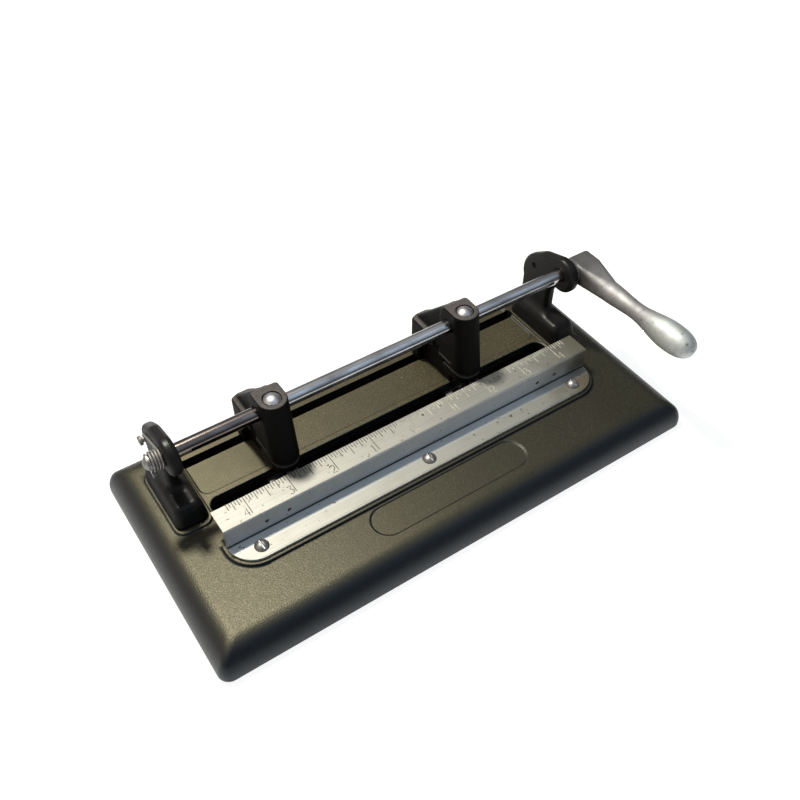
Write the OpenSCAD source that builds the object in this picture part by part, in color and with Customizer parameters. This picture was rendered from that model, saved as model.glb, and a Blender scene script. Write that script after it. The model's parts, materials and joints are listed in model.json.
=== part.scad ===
// Adjustable two-hole paper punch: a heavy cast base with a steel gauge ruler,
// two stands, a grooved rock shaft with a crank handle and two sliding punch heads.
// Millimetres. Origin at the centre of the base's underside.
// +X runs right along the ruler, +Y to the back and +Z up.

/* [Base] */
// Length of the base along the ruler
base_l = 306; // [280:1:330]
// Depth of the base from front to back
base_w = 147; // [140:1:160]
// Height of the flat top of the base
base_h = 17.2; // [15:0.2:22]
// Radius of the rolled edge and of the corners in plan
edge_r = 15; // [10:0.5:15]
// Radius of the base's corners seen from above
base_corner_r = 6.5; // [4:0.5:15]
// Thickness of the top wall over the hollow underside
base_wall = 6; // [4:0.5:7]
// Thickness of the skirt round the hollow underside
base_skirt = 9; // [6:0.5:14]
// Half length of the slot that the punch heads slide in
slot_half = 116; // [105:1:118]
// Front edge of the slot
slot_front = -1; // [-4:0.5:2]
// Rear edge of the slot
slot_rear = 19; // [17:0.5:22]
// Radius of the corners of the slot
slot_r = 6; // [3:0.5:8]
// Depth of the recessed panel behind the slot
panel_depth = 1; // [0.5:0.1:2]
// Front edge of the recessed panel
panel_front = 23; // [21:0.5:25]
// Rear edge of the recessed panel
panel_rear = 58; // [50:0.5:58]
// rear slot that guides the heads' rear feet, front edge
guide_front = 46.4; // [45.5:0.1:47.5]
// rear slot, width
guide_w = 6.2; // [5:0.1:7]
// depth of the heads' rear tongues in the rear slot
guide_tongue = 4; // [2:0.2:4.8]
// Height of the raised pads under the stands
pad_h = 1; // [0.5:0.1:2]
// Half length of the oval cartouche
plate_half = 50; // [40:1:60]
// Half depth of the oval cartouche
plate_r = 9.8; // [7:0.2:11]
// Place of the cartouche's centre line
plate_y = -45.4; // [-48:0.2:-42]
// Depth of the cartouche
plate_depth = 0.6; // [0.3:0.1:1.5]

/* [Ruler] */
// Length of the gauge ruler
ruler_l = 239; // [220:1:240]
// Height of the ruler's top face
ruler_top = 34; // [32:0.5:36]
// Rear edge of the ruler's top
ruler_rear = -1.6; // [-4:0.2:-1]
// Depth of the ruler's top
ruler_top_w = 15.2; // [13:0.2:18]
// Depth of the screw flange in front of the riser
ruler_flange_w = 15.5; // [13:0.5:17]
// Radius of the flange's front corners
ruler_corner_r = 15; // [5:0.5:15.5]
// Thickness of the ruler's steel
ruler_t = 1.6; // [1:0.1:2.5]
// Margin of the raised seat round the flange
seat_margin = 2; // [1:0.2:3]
// Spacing of the outer ruler screws from the middle
ruler_screw_x = 104.2; // [95:0.2:110]
// Length of one inch on the scale
inch = 25.4; // [25.4:0.1:25.4]

/* [Rock shaft] */
// Diameter of the shaft
shaft_d = 8; // [7:0.1:9]
// Distance of the shaft axis behind the middle of the base
shaft_y = 18.6; // [16:0.2:22]
// Height of the shaft axis
shaft_z = 64.4; // [60:0.2:68]
// Angle from rest to fully pressed, in degrees
press_angle = 27.5; // [20:0.5:28]
// Width of the long groove in the shaft
groove_w = 2; // [1.6:0.1:2.6]
// Distance of the groove's floor from the axis
groove_floor = 2.2; // [1.6:0.1:2.6]

/* [Stands] */
// Inner face of each stand's plate, from the middle
stand_in = 123; // [121:0.5:125]
// Thickness of the plate
stand_t = 7; // [6:0.5:9]
// Radius of the nose round the shaft
nose_r = 10.9; // [9:0.1:11.5]
// Rear edge of the plate
stand_rear = 50.2; // [46:0.2:52]
// Front of the neck under the nose
neck_front = 25.6; // [22:0.2:30]
// Length of the foot from front to back
foot_l = 45; // [40:0.5:50]
// Width of the foot
foot_w = 18.5; // [16:0.5:19]
// Height of the foot
foot_h = 12; // [9:0.5:14]
// Front end of the foot
foot_front = 7.2; // [5:0.2:10]

/* [Handle] */
// Width of the square hub along the shaft
hub_w = 16; // [13:0.5:17]
// Height of the square hub
hub_h = 12.8; // [11:0.1:14]
// Length of the handle from the shaft axis to the tip
handle_reach = 92; // [80:1:95]
// Diameter of the waist
waist_d = 10.2; // [8:0.2:12]
// Diameter of the bulb
bulb_d = 16.8; // [14:0.2:17.4]

/* [Punch heads] */
// Place of the left head along the ruler
left_x = -70.4; // [-101:0.2:-12]
// Place of the right head along the ruler
right_x = 49.6; // [12:0.2:101]
// Width of a head
head_w = 16; // [15:0.2:18]
// Height of the head's flat top
head_top = 75; // [73:0.2:78]
// How far the column leans forward at its foot
head_lean = 5.3; // [0:0.1:6]
// Rear face of the column
head_rear = 27.4; // [27:0.2:30]
// Rear end of the rear block
block_rear = 57.2; // [50:0.1:57.4]
// Top of the rear block
block_top = 45; // [38:0.1:48]
// Front of the rear block
block_front = 46; // [42:0.5:48]
// Thickness of the thin web between the column and the rear block
web_t = 7; // [6:0.2:9]
// Thickness of the lower jaw
lip_t = 5.8; // [5.4:0.1:7]
// Depth of the shallow hollow in each side of the column
side_hollow = 1; // [0.4:0.1:1.4]
// Height of the die's face above the ruler's top
die_rise = 0.8; // [0:0.1:1.5]
// Height of the paper throat
throat = 2; // [1.6:0.1:2.2]
// Rear wall of the throat
throat_rear = 21.5; // [20:0.5:23]
// Distance from the shaft axis forward to the punch axis
punch_set = 4.2; // [4:0.1:4.6]
// Diameter of the punch's upper stem
stem_d = 9; // [8.6:0.1:9.4]
// Diameter of the punched hole
hole_d = 6.35; // [5:0.05:7]
// Distance from the shaft axis to the key's tip
key_reach = 5.4; // [5.2:0.1:5.6]
// Thickness of the key in the groove
key_t = 1.8; // [1.4:0.1:2]
// Radius of the key's round tip
key_tip_r = 1.25; // [1:0.05:1.4]
// Length of the key along the shaft
key_l = 9; // [7:0.2:10]

/* [Return spring] */
// Diameter of the spring wire
wire_d = 0.9; // [0.7:0.05:1]
// Radius of the coil at the middle of the wire
coil_r = 5.2; // [5:0.05:6]
// Number of turns
coil_turns = 3.375; // [1.375:1:3.375]
// Advance of one turn
coil_pitch = 1.48; // [1.4:0.02:2.4]

/* [Fits] */
// Radial running clearance of round fits
run_fit = 0.05; // [0.02:0.01:0.1]
// Gap between pieces that slide past each other
slide_fit = 0.3; // [0.25:0.05:0.5]

/* [Hidden] */
$fn = 64;

eps = 0.01;
under_z = base_h - base_wall;
shaft_r = shaft_d / 2;

// The raised seat under the ruler, and the ruler's two bends
seat_h = 1.6;
seat_z = base_h + seat_h;
riser_front = ruler_rear - ruler_top_w;
flange_front = riser_front - ruler_flange_w;
flange_top = seat_z + ruler_t;
ruler_screw_y = riser_front - 8.2;

// Stands
stand_mid = stand_in + stand_t / 2;
stand_out = stand_in + stand_t;
foot_z = base_h + pad_h;
rear_lobe_r = 14.2;
nose_z = shaft_z - 0.8;
rear_lobe_y = stand_rear - rear_lobe_r - 0.2;
rear_lobe_z = shaft_z - 13.6;
edge_soft = 2;
plug_y = shaft_y + 21.8;
plug_z = shaft_z - 6.4;
plug_d = 3;
stand_screw_d = 5;

// Right end of the shaft
collar_t = 1.2;
collar_r = 8.5;
collar_x = stand_out + slide_fit;
hub_x = collar_x + collar_t;
hub_back = 4.3;
stop_r = 7;
stop_d = 2.4;
// Left end of the shaft
coil_x = -stand_out - slide_fit - wire_d / 2;
coil_end_x = coil_x - coil_turns * coil_pitch;
shaft_left = coil_end_x - wire_d / 2 - slide_fit;
washer_t = 1;
washer_r = 5;

// Heads
punch_y = shaft_y - punch_set;
head_r = head_w / 2;
die_z = ruler_top + die_rise;
jaw_z = die_z + throat;
jaw_front = punch_y - head_r - head_lean;
tongue_z = under_z - slide_fit;
gib_t = 3;
tongue_l = 9;
ramp_w = 8;
panel_z = base_h - panel_depth;
die_r = 5.6;
die_h = 4.5;
lip_z = die_z - lip_t;
arch_z = base_h + 19;
stroke = key_reach * sin(press_angle);
stem_r = stem_d / 2;
bore_step = jaw_z + 15;
stem_foot = bore_step + stroke + 0.7;
notch_low = shaft_z - shaft_r - slide_fit;
notch_high = shaft_z + shaft_r + slide_fit + stroke;
notch_y = shaft_y - shaft_r - slide_fit;
pocket_r = key_reach + key_tip_r + slide_fit + 0.1;

iron = [0.16, 0.15, 0.12];
dark_iron = [0.08, 0.08, 0.08];
steel = [0.75, 0.75, 0.73];
bright = [0.85, 0.85, 0.86];

// A cylinder lying along +X from x
module rod_x(x, l, r) {
    translate([x, 0, 0])
        rotate([0, 90, 0])
            cylinder(h = l, r = r);
}

// A rectangle with four round corners, by its limits
module round_rect(x0, x1, y0, y1, r) {
    translate([x0 + r, y0])
        square([x1 - x0 - 2 * r, y1 - y0]);
    translate([x0, y0 + r])
        square([x1 - x0, y1 - y0 - 2 * r]);
    for (x = [x0 + r, x1 - r])
        for (y = [y0 + r, y1 - r])
            translate([x, y])
                circle(r = r);
}

// Section of the rolled edge: a quarter round over a short upright band
module edge_section() {
    square([edge_r, base_h - edge_r]);
    translate([0, base_h - edge_r])
        intersection() {
            circle(r = edge_r);
            square([edge_r, edge_r]);
        }
}

// Section across the base: flat top between two rolled edges
module base_section(w) {
    translate([-w / 2 + edge_r, 0])
        square([w - 2 * edge_r, base_h]);
    for (m = [0, 1])
        mirror([m, 0])
            translate([w / 2 - edge_r, 0])
                edge_section();
}

// The rolled edges meet in a soft mitre; the outline has small round corners
module base_body() {
    intersection() {
        translate([-base_l / 2, 0, 0])
            rotate([90, 0, 90])
                linear_extrude(base_l)
                    base_section(base_w);
        translate([0, base_w / 2, 0])
            rotate([90, 0, 0])
                linear_extrude(base_w)
                    base_section(base_l);
        linear_extrude(base_h)
            round_rect(-base_l / 2, base_l / 2, -base_w / 2, base_w / 2, base_corner_r);
    }
}

// Outline of the screw flange, grown by a margin
module flange_outline(grow, rear) {
    x = ruler_l / 2 + grow;
    y0 = flange_front - grow;
    r = min(ruler_corner_r, ruler_flange_w - 0.5) + grow;
    translate([-x, y0 + r])
        square([2 * x, rear - y0 - r]);
    translate([-x + r, y0])
        square([2 * (x - r), r + eps]);
    // only the front half of each corner circle counts
    intersection() {
        translate([-x, y0])
            square([2 * x, rear - y0]);
        for (s = [-1, 1])
            translate([s * (x - r), y0 + r])
                circle(r = r);
    }
}

module stand_screw_places() {
    for (s = [-1, 1])
        for (y = [foot_front + 11, foot_front + 35])
            translate([s * stand_mid, y, 0])
                children();
}

module ruler_screw_places() {
    for (x = [-ruler_screw_x, 0, ruler_screw_x])
        translate([x, ruler_screw_y, 0])
            children();
}

module base_casting() {
    color(iron)
        difference() {
            union() {
                base_body();
                translate([0, 0, base_h - eps])
                    linear_extrude(seat_h + eps)
                        flange_outline(seat_margin, riser_front + 4);
                for (s = [-1, 1])
                    translate([s * stand_mid, 0, base_h - eps])
                        linear_extrude(pad_h + eps)
                            round_rect(-foot_w / 2 - 1.8, foot_w / 2 + 1.8, foot_front - 3.4,
                                       foot_front + foot_l + 2, 6);
            }
            // hollow underside
            translate([0, 0, -1])
                linear_extrude(under_z + 1)
                    round_rect(-base_l / 2 + base_skirt, base_l / 2 - base_skirt,
                               -base_w / 2 + base_skirt, base_w / 2 - base_skirt, 8);
            // slot for the heads
            linear_extrude(base_h + 1)
                round_rect(-slot_half, slot_half, slot_front, slot_rear, slot_r);
            // recessed panel behind the slot
            translate([0, 0, panel_z])
                linear_extrude(panel_depth + 1)
                    round_rect(-slot_half + 0.6, slot_half - 0.6, panel_front, panel_rear, 5);
            // rear slot
            linear_extrude(base_h + 1)
                round_rect(-slot_half - 0.4, slot_half + 0.4, guide_front, guide_front + guide_w, 1.5);
            // bare cartouche
            translate([0, plate_y, base_h - plate_depth])
                linear_extrude(plate_depth + 1) {
                    square([2 * (plate_half - plate_r), 2 * plate_r], center = true);
                    for (s = [-1, 1])
                        translate([s * (plate_half - plate_r), 0])
                            circle(r = plate_r);
                }
            stand_screw_places()
                cylinder(h = 40, r = stand_screw_d / 2 + run_fit);
            ruler_screw_places()
                translate([0, 0, under_z - 1])
                    cylinder(h = 20, r = 2 + run_fit);
        }
}

// Rounded foot under a stand: low upright sides, soft top edges and a round front
module foot() {
    r = 4;
    hull() {
        translate([0, 0, foot_z])
            linear_extrude(2)
                round_rect(-foot_w / 2, foot_w / 2, foot_front, foot_front + foot_l, 4.5);
        for (s = [-1, 1])
            for (y = [foot_front + r + 2.6, foot_front + foot_l - r - 1])
                translate([s * (foot_w / 2 - r - 1.2), y, foot_z + foot_h - r])
                    sphere(r = r, $fn = 32);
    }
}

// Plate behind the nose: a convex outline with soft edges, across the stand's thickness
module soft_plate() {
    intersection() {
        rotate([90, 0, 90])
            hull()
                for (i = [[0, edge_soft], [0.3 * edge_soft, 0.3 * edge_soft], [edge_soft, 0]])
                    translate([0, 0, -stand_t / 2 + i[0]])
                        linear_extrude(stand_t - 2 * i[0])
                            lobes(i[1]);
        union() {
            translate([-20, neck_front + 2.5, 0])
                cube([40, 60, 120]);
            translate([-20, 0, nose_z])
                cube([40, 60, 60]);
        }
    }
}

module lobes(inset) {
    translate([shaft_y, nose_z])
        circle(r = nose_r - inset);
    translate([rear_lobe_y, rear_lobe_z])
        circle(r = rear_lobe_r - inset);
}

// Round nose with soft edges round the shaft
module nose() {
    h = stand_t / 2;
    c = edge_soft;
    translate([0, shaft_y, nose_z])
        rotate([0, 90, 0])
            rotate_extrude()
                polygon([[0, -h], [nose_r - c, -h], [nose_r - 0.3 * c, -h + 0.3 * c], [nose_r, -h + c],
                         [nose_r, h - c], [nose_r - 0.3 * c, h - 0.3 * c], [nose_r - c, h], [0, h]]);
}

// Section of the neck, grown by a margin
module neck_slice(z, grow, ahead) {
    r = stand_t / 2 - 0.1;
    translate([0, 0, z])
        linear_extrude(0.1)
            round_rect(-r - grow, r + grow, neck_front - ahead, stand_rear + grow / 2, r - 0.2, $fn = 32);
}

// Neck from the foot up into the plate, flaring at its foot
module neck() {
    foot_top = foot_z + foot_h;
    hull() {
        neck_slice(rear_lobe_z - 2, 0, 0);
        neck_slice(foot_top - 2, 0, 0);
    }
    hull() {
        neck_slice(foot_top + 7, -0.3, -0.5);
        neck_slice(foot_top - 1.5, 2.4, 4.6);
    }
    // upper front of the neck, under the nose
    translate([0, neck_front + stand_t / 2, rear_lobe_z - 6])
        cylinder(h = shaft_z - rear_lobe_z + 2, r = stand_t / 2 - 0.15);
}

module stand() {
    difference() {
        union() {
            foot();
            soft_plate();
            nose();
            neck();
        }
        translate([0, shaft_y, shaft_z])
            rod_x(-20, 40, shaft_r + run_fit);
        translate([0, plug_y, plug_z])
            rod_x(-20, 40, plug_d / 2);
        for (y = [foot_front + 11, foot_front + 35])
            translate([0, y, foot_z - 1])
                cylinder(h = 10, r = stand_screw_d / 2 + run_fit);
    }
}

module left_stand() {
    color(dark_iron)
        translate([-stand_mid, 0, 0])
            stand();
}

module right_stand() {
    color(dark_iron)
        difference() {
            translate([stand_mid, 0, 0])
                stand();
            translate([0, shaft_y, shaft_z + stop_r])
                rod_x(stand_out - 4, 6, stop_d / 2);
        }
}

// Screws that hold the stands from below
module stand_screws() {
    color(steel)
        stand_screw_places() {
            translate([0, 0, under_z - 3])
                difference() {
                    cylinder(h = 3, r = 4.5);
                    translate([-6, -0.6, -1])
                        cube([12, 1.2, 2]);
                }
            translate([0, 0, under_z - eps])
                cylinder(h = base_wall + pad_h + 7.5, r = stand_screw_d / 2);
        }
}

module ruler_section() {
    translate([riser_front, ruler_top - ruler_t])
        square([ruler_top_w, ruler_t]);
    translate([riser_front, seat_z])
        square([ruler_t, ruler_top - seat_z]);
}

module ruler_gauge() {
    color(steel)
        difference() {
            union() {
                translate([-ruler_l / 2, 0, 0])
                    rotate([90, 0, 90])
                        linear_extrude(ruler_l)
                            ruler_section();
                translate([0, 0, seat_z])
                    linear_extrude(ruler_t)
                        flange_outline(0, riser_front + ruler_t);
            }
            ruler_screw_places()
                translate([0, 0, seat_z - 1])
                    cylinder(h = 5, r = 2 + run_fit);
            // pairs of small holes near each end of the riser
            for (s = [-1, 1])
                for (x = [83, 96])
                    translate([s * x, riser_front + 3, seat_z + 7.4])
                        rotate([90, 0, 0])
                            cylinder(h = 6, r = 1.2);
            // inch and half-inch lines of the scale
            for (i = [-8 : 8])
                let (l = i % 2 == 0 ? 12.4 : 7.6)
                    translate([i * inch / 2 - 0.15, ruler_rear - l, ruler_top - 0.12])
                        cube([0.3, l + 1, 1]);
        }
}

// Slotted round-head screws of the ruler
module ruler_screws() {
    cap_r = 4.5;
    cap_h = 2.7;
    cap_ball = (cap_r * cap_r + cap_h * cap_h) / (2 * cap_h);
    color(steel)
        ruler_screw_places() {
            translate([0, 0, under_z + 0.5])
                cylinder(h = flange_top - under_z - 0.5 + eps, r = 2);
            translate([0, 0, flange_top])
                difference() {
                    rotate_extrude()
                        intersection() {
                            translate([0, cap_h - cap_ball])
                                circle(r = cap_ball);
                            square([cap_r, cap_h + 1]);
                        }
                    rotate(92)
                        translate([-6, -0.5, cap_h - 1.2])
                            cube([12, 1, 3]);
                }
        }
}

// Screw in the left stand that the spring's long leg hooks over
module spring_anchor() {
    color(steel)
        translate([0, plug_y, plug_z]) {
            rod_x(-stand_out - 2.6, 9, plug_d / 2);
            difference() {
                rod_x(-stand_out - 4.4, 1.8, 2.6);
                translate([-stand_out - 5, -0.4, -4])
                    cube([1.4, 0.8, 8]);
            }
        }
}

// Plug in the same hole of the right stand
module stand_plug() {
    color(steel)
        translate([0, plug_y, plug_z])
            rod_x(stand_in + 0.6, stand_t - 0.6, plug_d / 2);
}

// Pin that stops the crank at rest and when fully pressed
module stop_pin() {
    color(steel)
        translate([0, shaft_y, shaft_z + stop_r])
            rod_x(stand_out - 4, 4 + slide_fit + collar_t - 0.2, stop_d / 2);
}

// Middle line of the spring, in the plane across the shaft and along it.
// The angle runs from +Y over +Z; the coil starts at the stand.
coil_start = 64;
function coil_point(t) =
    let (a = coil_start + 360 * t)
        [coil_x - coil_pitch * t, shaft_y + coil_r * cos(a), shaft_z + coil_r * sin(a)];
coil_steps = 8 * coil_turns;
hook_gap = plug_d / 2 + wire_d / 2 + 0.05;
hook_a = coil_start + 8;
// long leg: from over the anchor down to the top of the coil
leg_out = [for (a = [-30, 5, 40, 70])
    [coil_x, plug_y + hook_gap * cos(a), plug_z + hook_gap * sin(a)]];
coil_mid = [for (i = [0 : coil_steps]) coil_point(i / 8)];
// short leg: straight on from the coil's last point
end_a = coil_start + 360 * coil_turns;
leg_in = [for (l = [2.6, 5.4])
    coil_point(coil_turns) + l * [0, -sin(end_a), cos(end_a)] + [-0.1, 0, 0]];
spring_path = concat(leg_out, coil_mid, leg_in);

function unit(v) = v / norm(v);
function path_dir(p, i) =
    unit(p[min(i + 1, len(p) - 1)] - p[max(i - 1, 0)]);
// a ring of six points square to the path
function ring(p, i, r) =
    let (d = path_dir(p, i), u = unit(cross(d, [1, 0.13, 0.07])), w = cross(d, u))
        [for (k = [0 : 5]) p[i] + r * (cos(60 * k) * u + sin(60 * k) * w)];

module tube(p, r) {
    n = len(p);
    points = [for (i = [0 : n - 1]) each ring(p, i, r)];
    sides = [for (i = [0 : n - 2]) for (k = [0 : 5])
        let (a = 6 * i + k, b = 6 * i + (k + 1) % 6)
            each [[a, b, b + 6], [a, b + 6, a + 6]]];
    first = [for (k = [1 : 4]) [0, k + 1, k]];
    last = [for (k = [1 : 4]) 6 * (n - 1) * [1, 1, 1] + [0, k, k + 1]];
    polyhedron(points, concat(sides, first, last));
}

// Least gap of the wire to itself, between points at least half a turn apart
spring_gap = min([for (i = [0 : len(spring_path) - 1]) for (j = [i + 4 : 1 : len(spring_path) - 1])
    norm(spring_path[i] - spring_path[j])]) - wire_d;
echo(spring_gap = spring_gap);

module return_spring() {
    color(bright)
        tube(spring_path, wire_d / 2);
}

module drive_shaft() {
    color(steel)
        translate([0, shaft_y, shaft_z])
            difference() {
                rod_x(shaft_left, hub_x + hub_w - 1 - shaft_left, shaft_r);
                translate([-slot_half, -shaft_r - 1, -groove_w / 2])
                    cube([2 * slot_half, shaft_r + 1 - groove_floor, groove_w]);
                rod_x(shaft_left - 1, 11, 1.5);
            }
}

// Half thickness of the round part of the handle, t from 0 at the arm to 1 at the tip
function smooth(t) = t * t * (3 - 2 * t);
arm_r = 6.3;
bulb_from = 0.34;
bulb_at = 0.74;
function grip_r(t) =
    t < bulb_from ? arm_r + (waist_d / 2 - arm_r) * smooth(t / bulb_from)
    : t < bulb_at ? waist_d / 2 + (bulb_d - waist_d) / 2 * smooth((t - bulb_from) / (bulb_at - bulb_from))
    : bulb_d / 2 * pow(max(0, 1 - pow((t - bulb_at) / (1 - bulb_at), 2.6)), 1 / 2.6);

module crank_handle() {
    arm = 26;
    hub_front = 7;
    dip = 1.5;
    rise = 1.8;
    grip = handle_reach - arm;
    c = 1.2;
    color(steel)
        translate([hub_x + hub_w / 2, shaft_y, shaft_z])
            difference() {
                union() {
                    // square hub, tapering into the round arm
                    hull() {
                        translate([-hub_w / 2, -hub_front, -hub_h / 2 + c])
                            cube([hub_w, hub_front + hub_back, hub_h - 2 * c]);
                        translate([-hub_w / 2 + c, -hub_front, -hub_h / 2])
                            cube([hub_w - 2 * c, hub_front + hub_back, hub_h]);
                        translate([0, -arm, -dip])
                            rotate([90 - rise, 0, 0])
                                cylinder(h = 0.1, r = grip_r(0) + 0.15, $fn = 48);
                    }
                    // waist and bulb
                    translate([0, -arm, -dip])
                        rotate([90 - rise, 0, 0])
                            rotate_extrude()
                                polygon(concat([[0, -4], [grip_r(0), -4]],
                                    [for (i = [0 : 35]) [grip_r(i / 36), grip * i / 36]],
                                    [[0.8, grip], [0, grip]]));
                }
                rod_x(-hub_w, 2 * hub_w, shaft_r);
                translate([0, 0, -hub_h])
                    cylinder(h = hub_h, r = 2.5);
            }
}

// Set screw that holds the handle to the shaft, from below
module handle_screw() {
    color(steel)
        translate([hub_x + hub_w / 2, shaft_y, shaft_z])
            difference() {
                translate([0, 0, -hub_h / 2 + 0.2])
                    cylinder(h = hub_h / 2 - shaft_r - 0.2 - 0.02, r = 2.5);
                rod_x(-hub_w, 2 * hub_w, shaft_r + 0.02);
                translate([-4, -0.4, -hub_h / 2])
                    cube([8, 0.8, 1]);
            }
}

// Collar between the right stand and the hub, notched for the stop pin
module thrust_collar() {
    half_pin = asin((stop_d / 2 + slide_fit) / stop_r);
    from = 90 - press_angle - half_pin;
    to = 90 + half_pin;
    mid = (from + to) / 2;
    color(steel)
        translate([collar_x, shaft_y, shaft_z])
            rotate([90, 0, 90])
                linear_extrude(collar_t)
                    difference() {
                        circle(r = collar_r);
                        circle(r = shaft_r);
                        intersection() {
                            difference() {
                                circle(r = 12);
                                circle(r = stop_r - stop_d / 2 - slide_fit);
                            }
                            polygon([[0, 0], 20 * [cos(from), sin(from)],
                                     30 * [cos(mid), sin(mid)], 20 * [cos(to), sin(to)]]);
                        }
                    }
}

// Washer on the shaft's left end. Its bent tab lies outside the spring's short leg,
// so the leg holds the crank back at rest.
module end_washer() {
    tab_in = coil_r + wire_d / 2 + 0.05;
    tab_t = 1;
    color(steel)
        translate([shaft_left, shaft_y, shaft_z]) {
            difference() {
                rod_x(-washer_t, washer_t, washer_r);
                rod_x(-2 * washer_t, 3 * washer_t, 1.5 + run_fit);
            }
            rotate([end_a, 0, 0]) {
                translate([-washer_t, 2, 2.4])
                    cube([washer_t, tab_in + tab_t - 2, 2.4]);
                translate([-washer_t, tab_in, 2.4])
                    cube([washer_t + slide_fit + wire_d, tab_t, 2.4]);
            }
        }
}

// Round-head screw in the shaft's left end
module end_screw() {
    color(bright)
        translate([shaft_left - washer_t, shaft_y, shaft_z]) {
            rod_x(-eps, 9, 1.5);
            rotate([0, -90, 0])
                difference() {
                    rotate_extrude()
                        intersection() {
                            translate([0, -2])
                                circle(r = 4.4);
                            square([3.9, 3]);
                        }
                    rotate(35)
                        translate([-5, -0.4, 1.4])
                            cube([10, 0.8, 2]);
                }
        }
}

// D-shaped slice of the column: round in front, soft corners behind
head_soft = 3;
module d_slice(z, front_y, rear_y, inset) {
    translate([0, 0, z])
        linear_extrude(0.1) {
            translate([0, front_y + head_r])
                circle(r = head_r - inset);
            for (s = [-1, 1])
                translate([s * (head_r - inset - head_soft), rear_y - inset - head_soft])
                    circle(r = head_soft, $fn = 32);
        }
}

module column() {
    top_front = punch_y - head_r;
    hull() {
        d_slice(head_top - 0.1, top_front, head_rear - 5, 0.7);
        d_slice(head_top - 0.8, top_front, head_rear - 4.2, 0);
        d_slice(head_top - 4.5, top_front + 0.1 - head_lean * 0.12, head_rear - 1.4, 0);
        d_slice(head_top - 8.5, top_front - head_lean * 0.22, head_rear, 0);
        d_slice(jaw_z, jaw_front, head_rear, 0);
    }
}

// Points of an arc, by centre, radius and angles
function arc(c, r, a0, a1, n) =
    [for (i = [0 : n]) c + r * [cos(a0 + (a1 - a0) * i / n), sin(a0 + (a1 - a0) * i / n)]];

// Side view of the full-width parts: swept arm, rear block and lower jaw
module side_view() {
    sweep_r = 14;
    round_r = 5;
    arch_r = 6;
    polygon(concat(
        [[throat_rear, die_z], [throat_rear, shaft_z - 3], [head_rear, shaft_z - 3]],
        arc([head_rear + sweep_r, block_top + sweep_r], sweep_r, 180, 270, 12),
        arc([block_rear - round_r, block_top - round_r], round_r, 90, 0, 8),
        [[block_rear, panel_z + slide_fit], [block_front, panel_z + slide_fit]],
        arc([block_front - arch_r, arch_z - arch_r], arch_r, 0, 90, 6),
        [[head_rear + 2.6, arch_z + 2.4], [head_rear + 0.8, arch_z + 6], [throat_rear + 3, jaw_z + 0.6],
         [throat_rear + 0.6, lip_z + 2.4], [throat_rear - 2.4, lip_z]],
        [[jaw_front + 1.4, lip_z], [jaw_front, lip_z + 1.4], [jaw_front, die_z - 0.6],
         [jaw_front + 0.6, die_z]]));
}

// Side view of the ramp that stiffens the arm's back
module ramp_view() {
    polygon([[head_rear - 2, block_top - 4], [head_rear - 2, shaft_z + 6.2], [head_rear + 1, shaft_z + 5.9],
             [block_rear - 5, block_top + 2.2], [block_rear - 2.6, block_top - 0.4],
             [block_rear - 2.6, block_top - 4]]);
}

// Side view of the thin web and of the tongue that reaches down through the slot
module web_view() {
    step = panel_front + 13;
    polygon([[slot_rear + 0.8, lip_z + 2], [throat_rear + 0.1, die_z], [throat_rear + 1, jaw_z + 9],
             [block_front + 2, arch_z + 3], [block_front + 2, panel_z + slide_fit],
             [step + 1, panel_z + slide_fit], [step, base_h + slide_fit],
             [slot_rear + 0.8, base_h + slide_fit]]);
    translate([slot_front + slide_fit, tongue_z])
        square([tongue_l, lip_z + 1 - tongue_z]);
    translate([guide_front + slide_fit + 0.1, panel_z - guide_tongue])
        square([guide_w - 2 * slide_fit - 0.2, guide_tongue + 4]);
}

// Plan view of the head: straight sides with a rounded rear end
module plan_view() {
    r = 5;
    nose_y = jaw_front + head_r;
    translate([0, nose_y])
        circle(r = head_r);
    translate([-head_r, nose_y])
        square([head_w, block_rear - r - nose_y]);
    translate([-head_r + r, block_rear - 2 * r])
        square([head_w - 2 * r, 2 * r]);
    for (s = [-1, 1])
        translate([s * (head_r - r), block_rear - r])
            circle(r = r);
}

module head() {
    difference() {
        union() {
            column();
            intersection() {
                translate([-head_r, 0, 0])
                    rotate([90, 0, 90])
                        linear_extrude(head_w)
                            side_view();
                linear_extrude(100)
                    plan_view();
            }
            translate([-web_t / 2, 0, 0])
                rotate([90, 0, 90])
                    linear_extrude(web_t)
                        web_view();
            translate([-ramp_w / 2, 0, 0])
                rotate([90, 0, 90])
                    linear_extrude(ramp_w)
                        ramp_view();
        }
        // shallow hollow in each side of the column
        for (s = [-1, 1])
            translate([s * head_r, 0, 0])
                rotate([90, 0, 90])
                    translate([0, 0, -side_hollow])
                        linear_extrude(2 * side_hollow)
                            polygon([[punch_y - 1, jaw_z + 1.6], [head_rear + 4, jaw_z + 1.6],
                                     [head_rear + 4, bore_step - 2], [punch_y - 1, bore_step - 2]]);
        // shaft bore and the pocket of the key
        translate([0, shaft_y, shaft_z]) {
            rod_x(-head_w, 2 * head_w, shaft_r + run_fit);
            rod_x(-key_l / 2 - 0.2, key_l + 0.4, pocket_r);
        }
        // stepped bore of the punch, open at the top
        translate([0, punch_y, 0]) {
            translate([0, 0, jaw_z - 1])
                cylinder(h = 40, r = hole_d / 2 + run_fit);
            translate([0, 0, bore_step])
                cylinder(h = 40, r = stem_r + run_fit);
            translate([0, 0, head_top - 1.2])
                cylinder(h = 5, r = stem_r + 0.8);
            // seat of the die and the way out for the chips
            translate([0, 0, die_z - die_h])
                cylinder(h = die_h + 1, r = die_r);
            translate([0, 0, lip_z - 1])
                cylinder(h = lip_t, r = hole_d / 2 + 0.8);
        }
        translate([0, slot_front + 5, tongue_z - 1])
            cylinder(h = 10, r = 1.75);
    }
}

module at_left() {
    translate([left_x, 0, 0])
        children();
}

module at_right() {
    translate([right_x, 0, 0])
        children();
}

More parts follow.
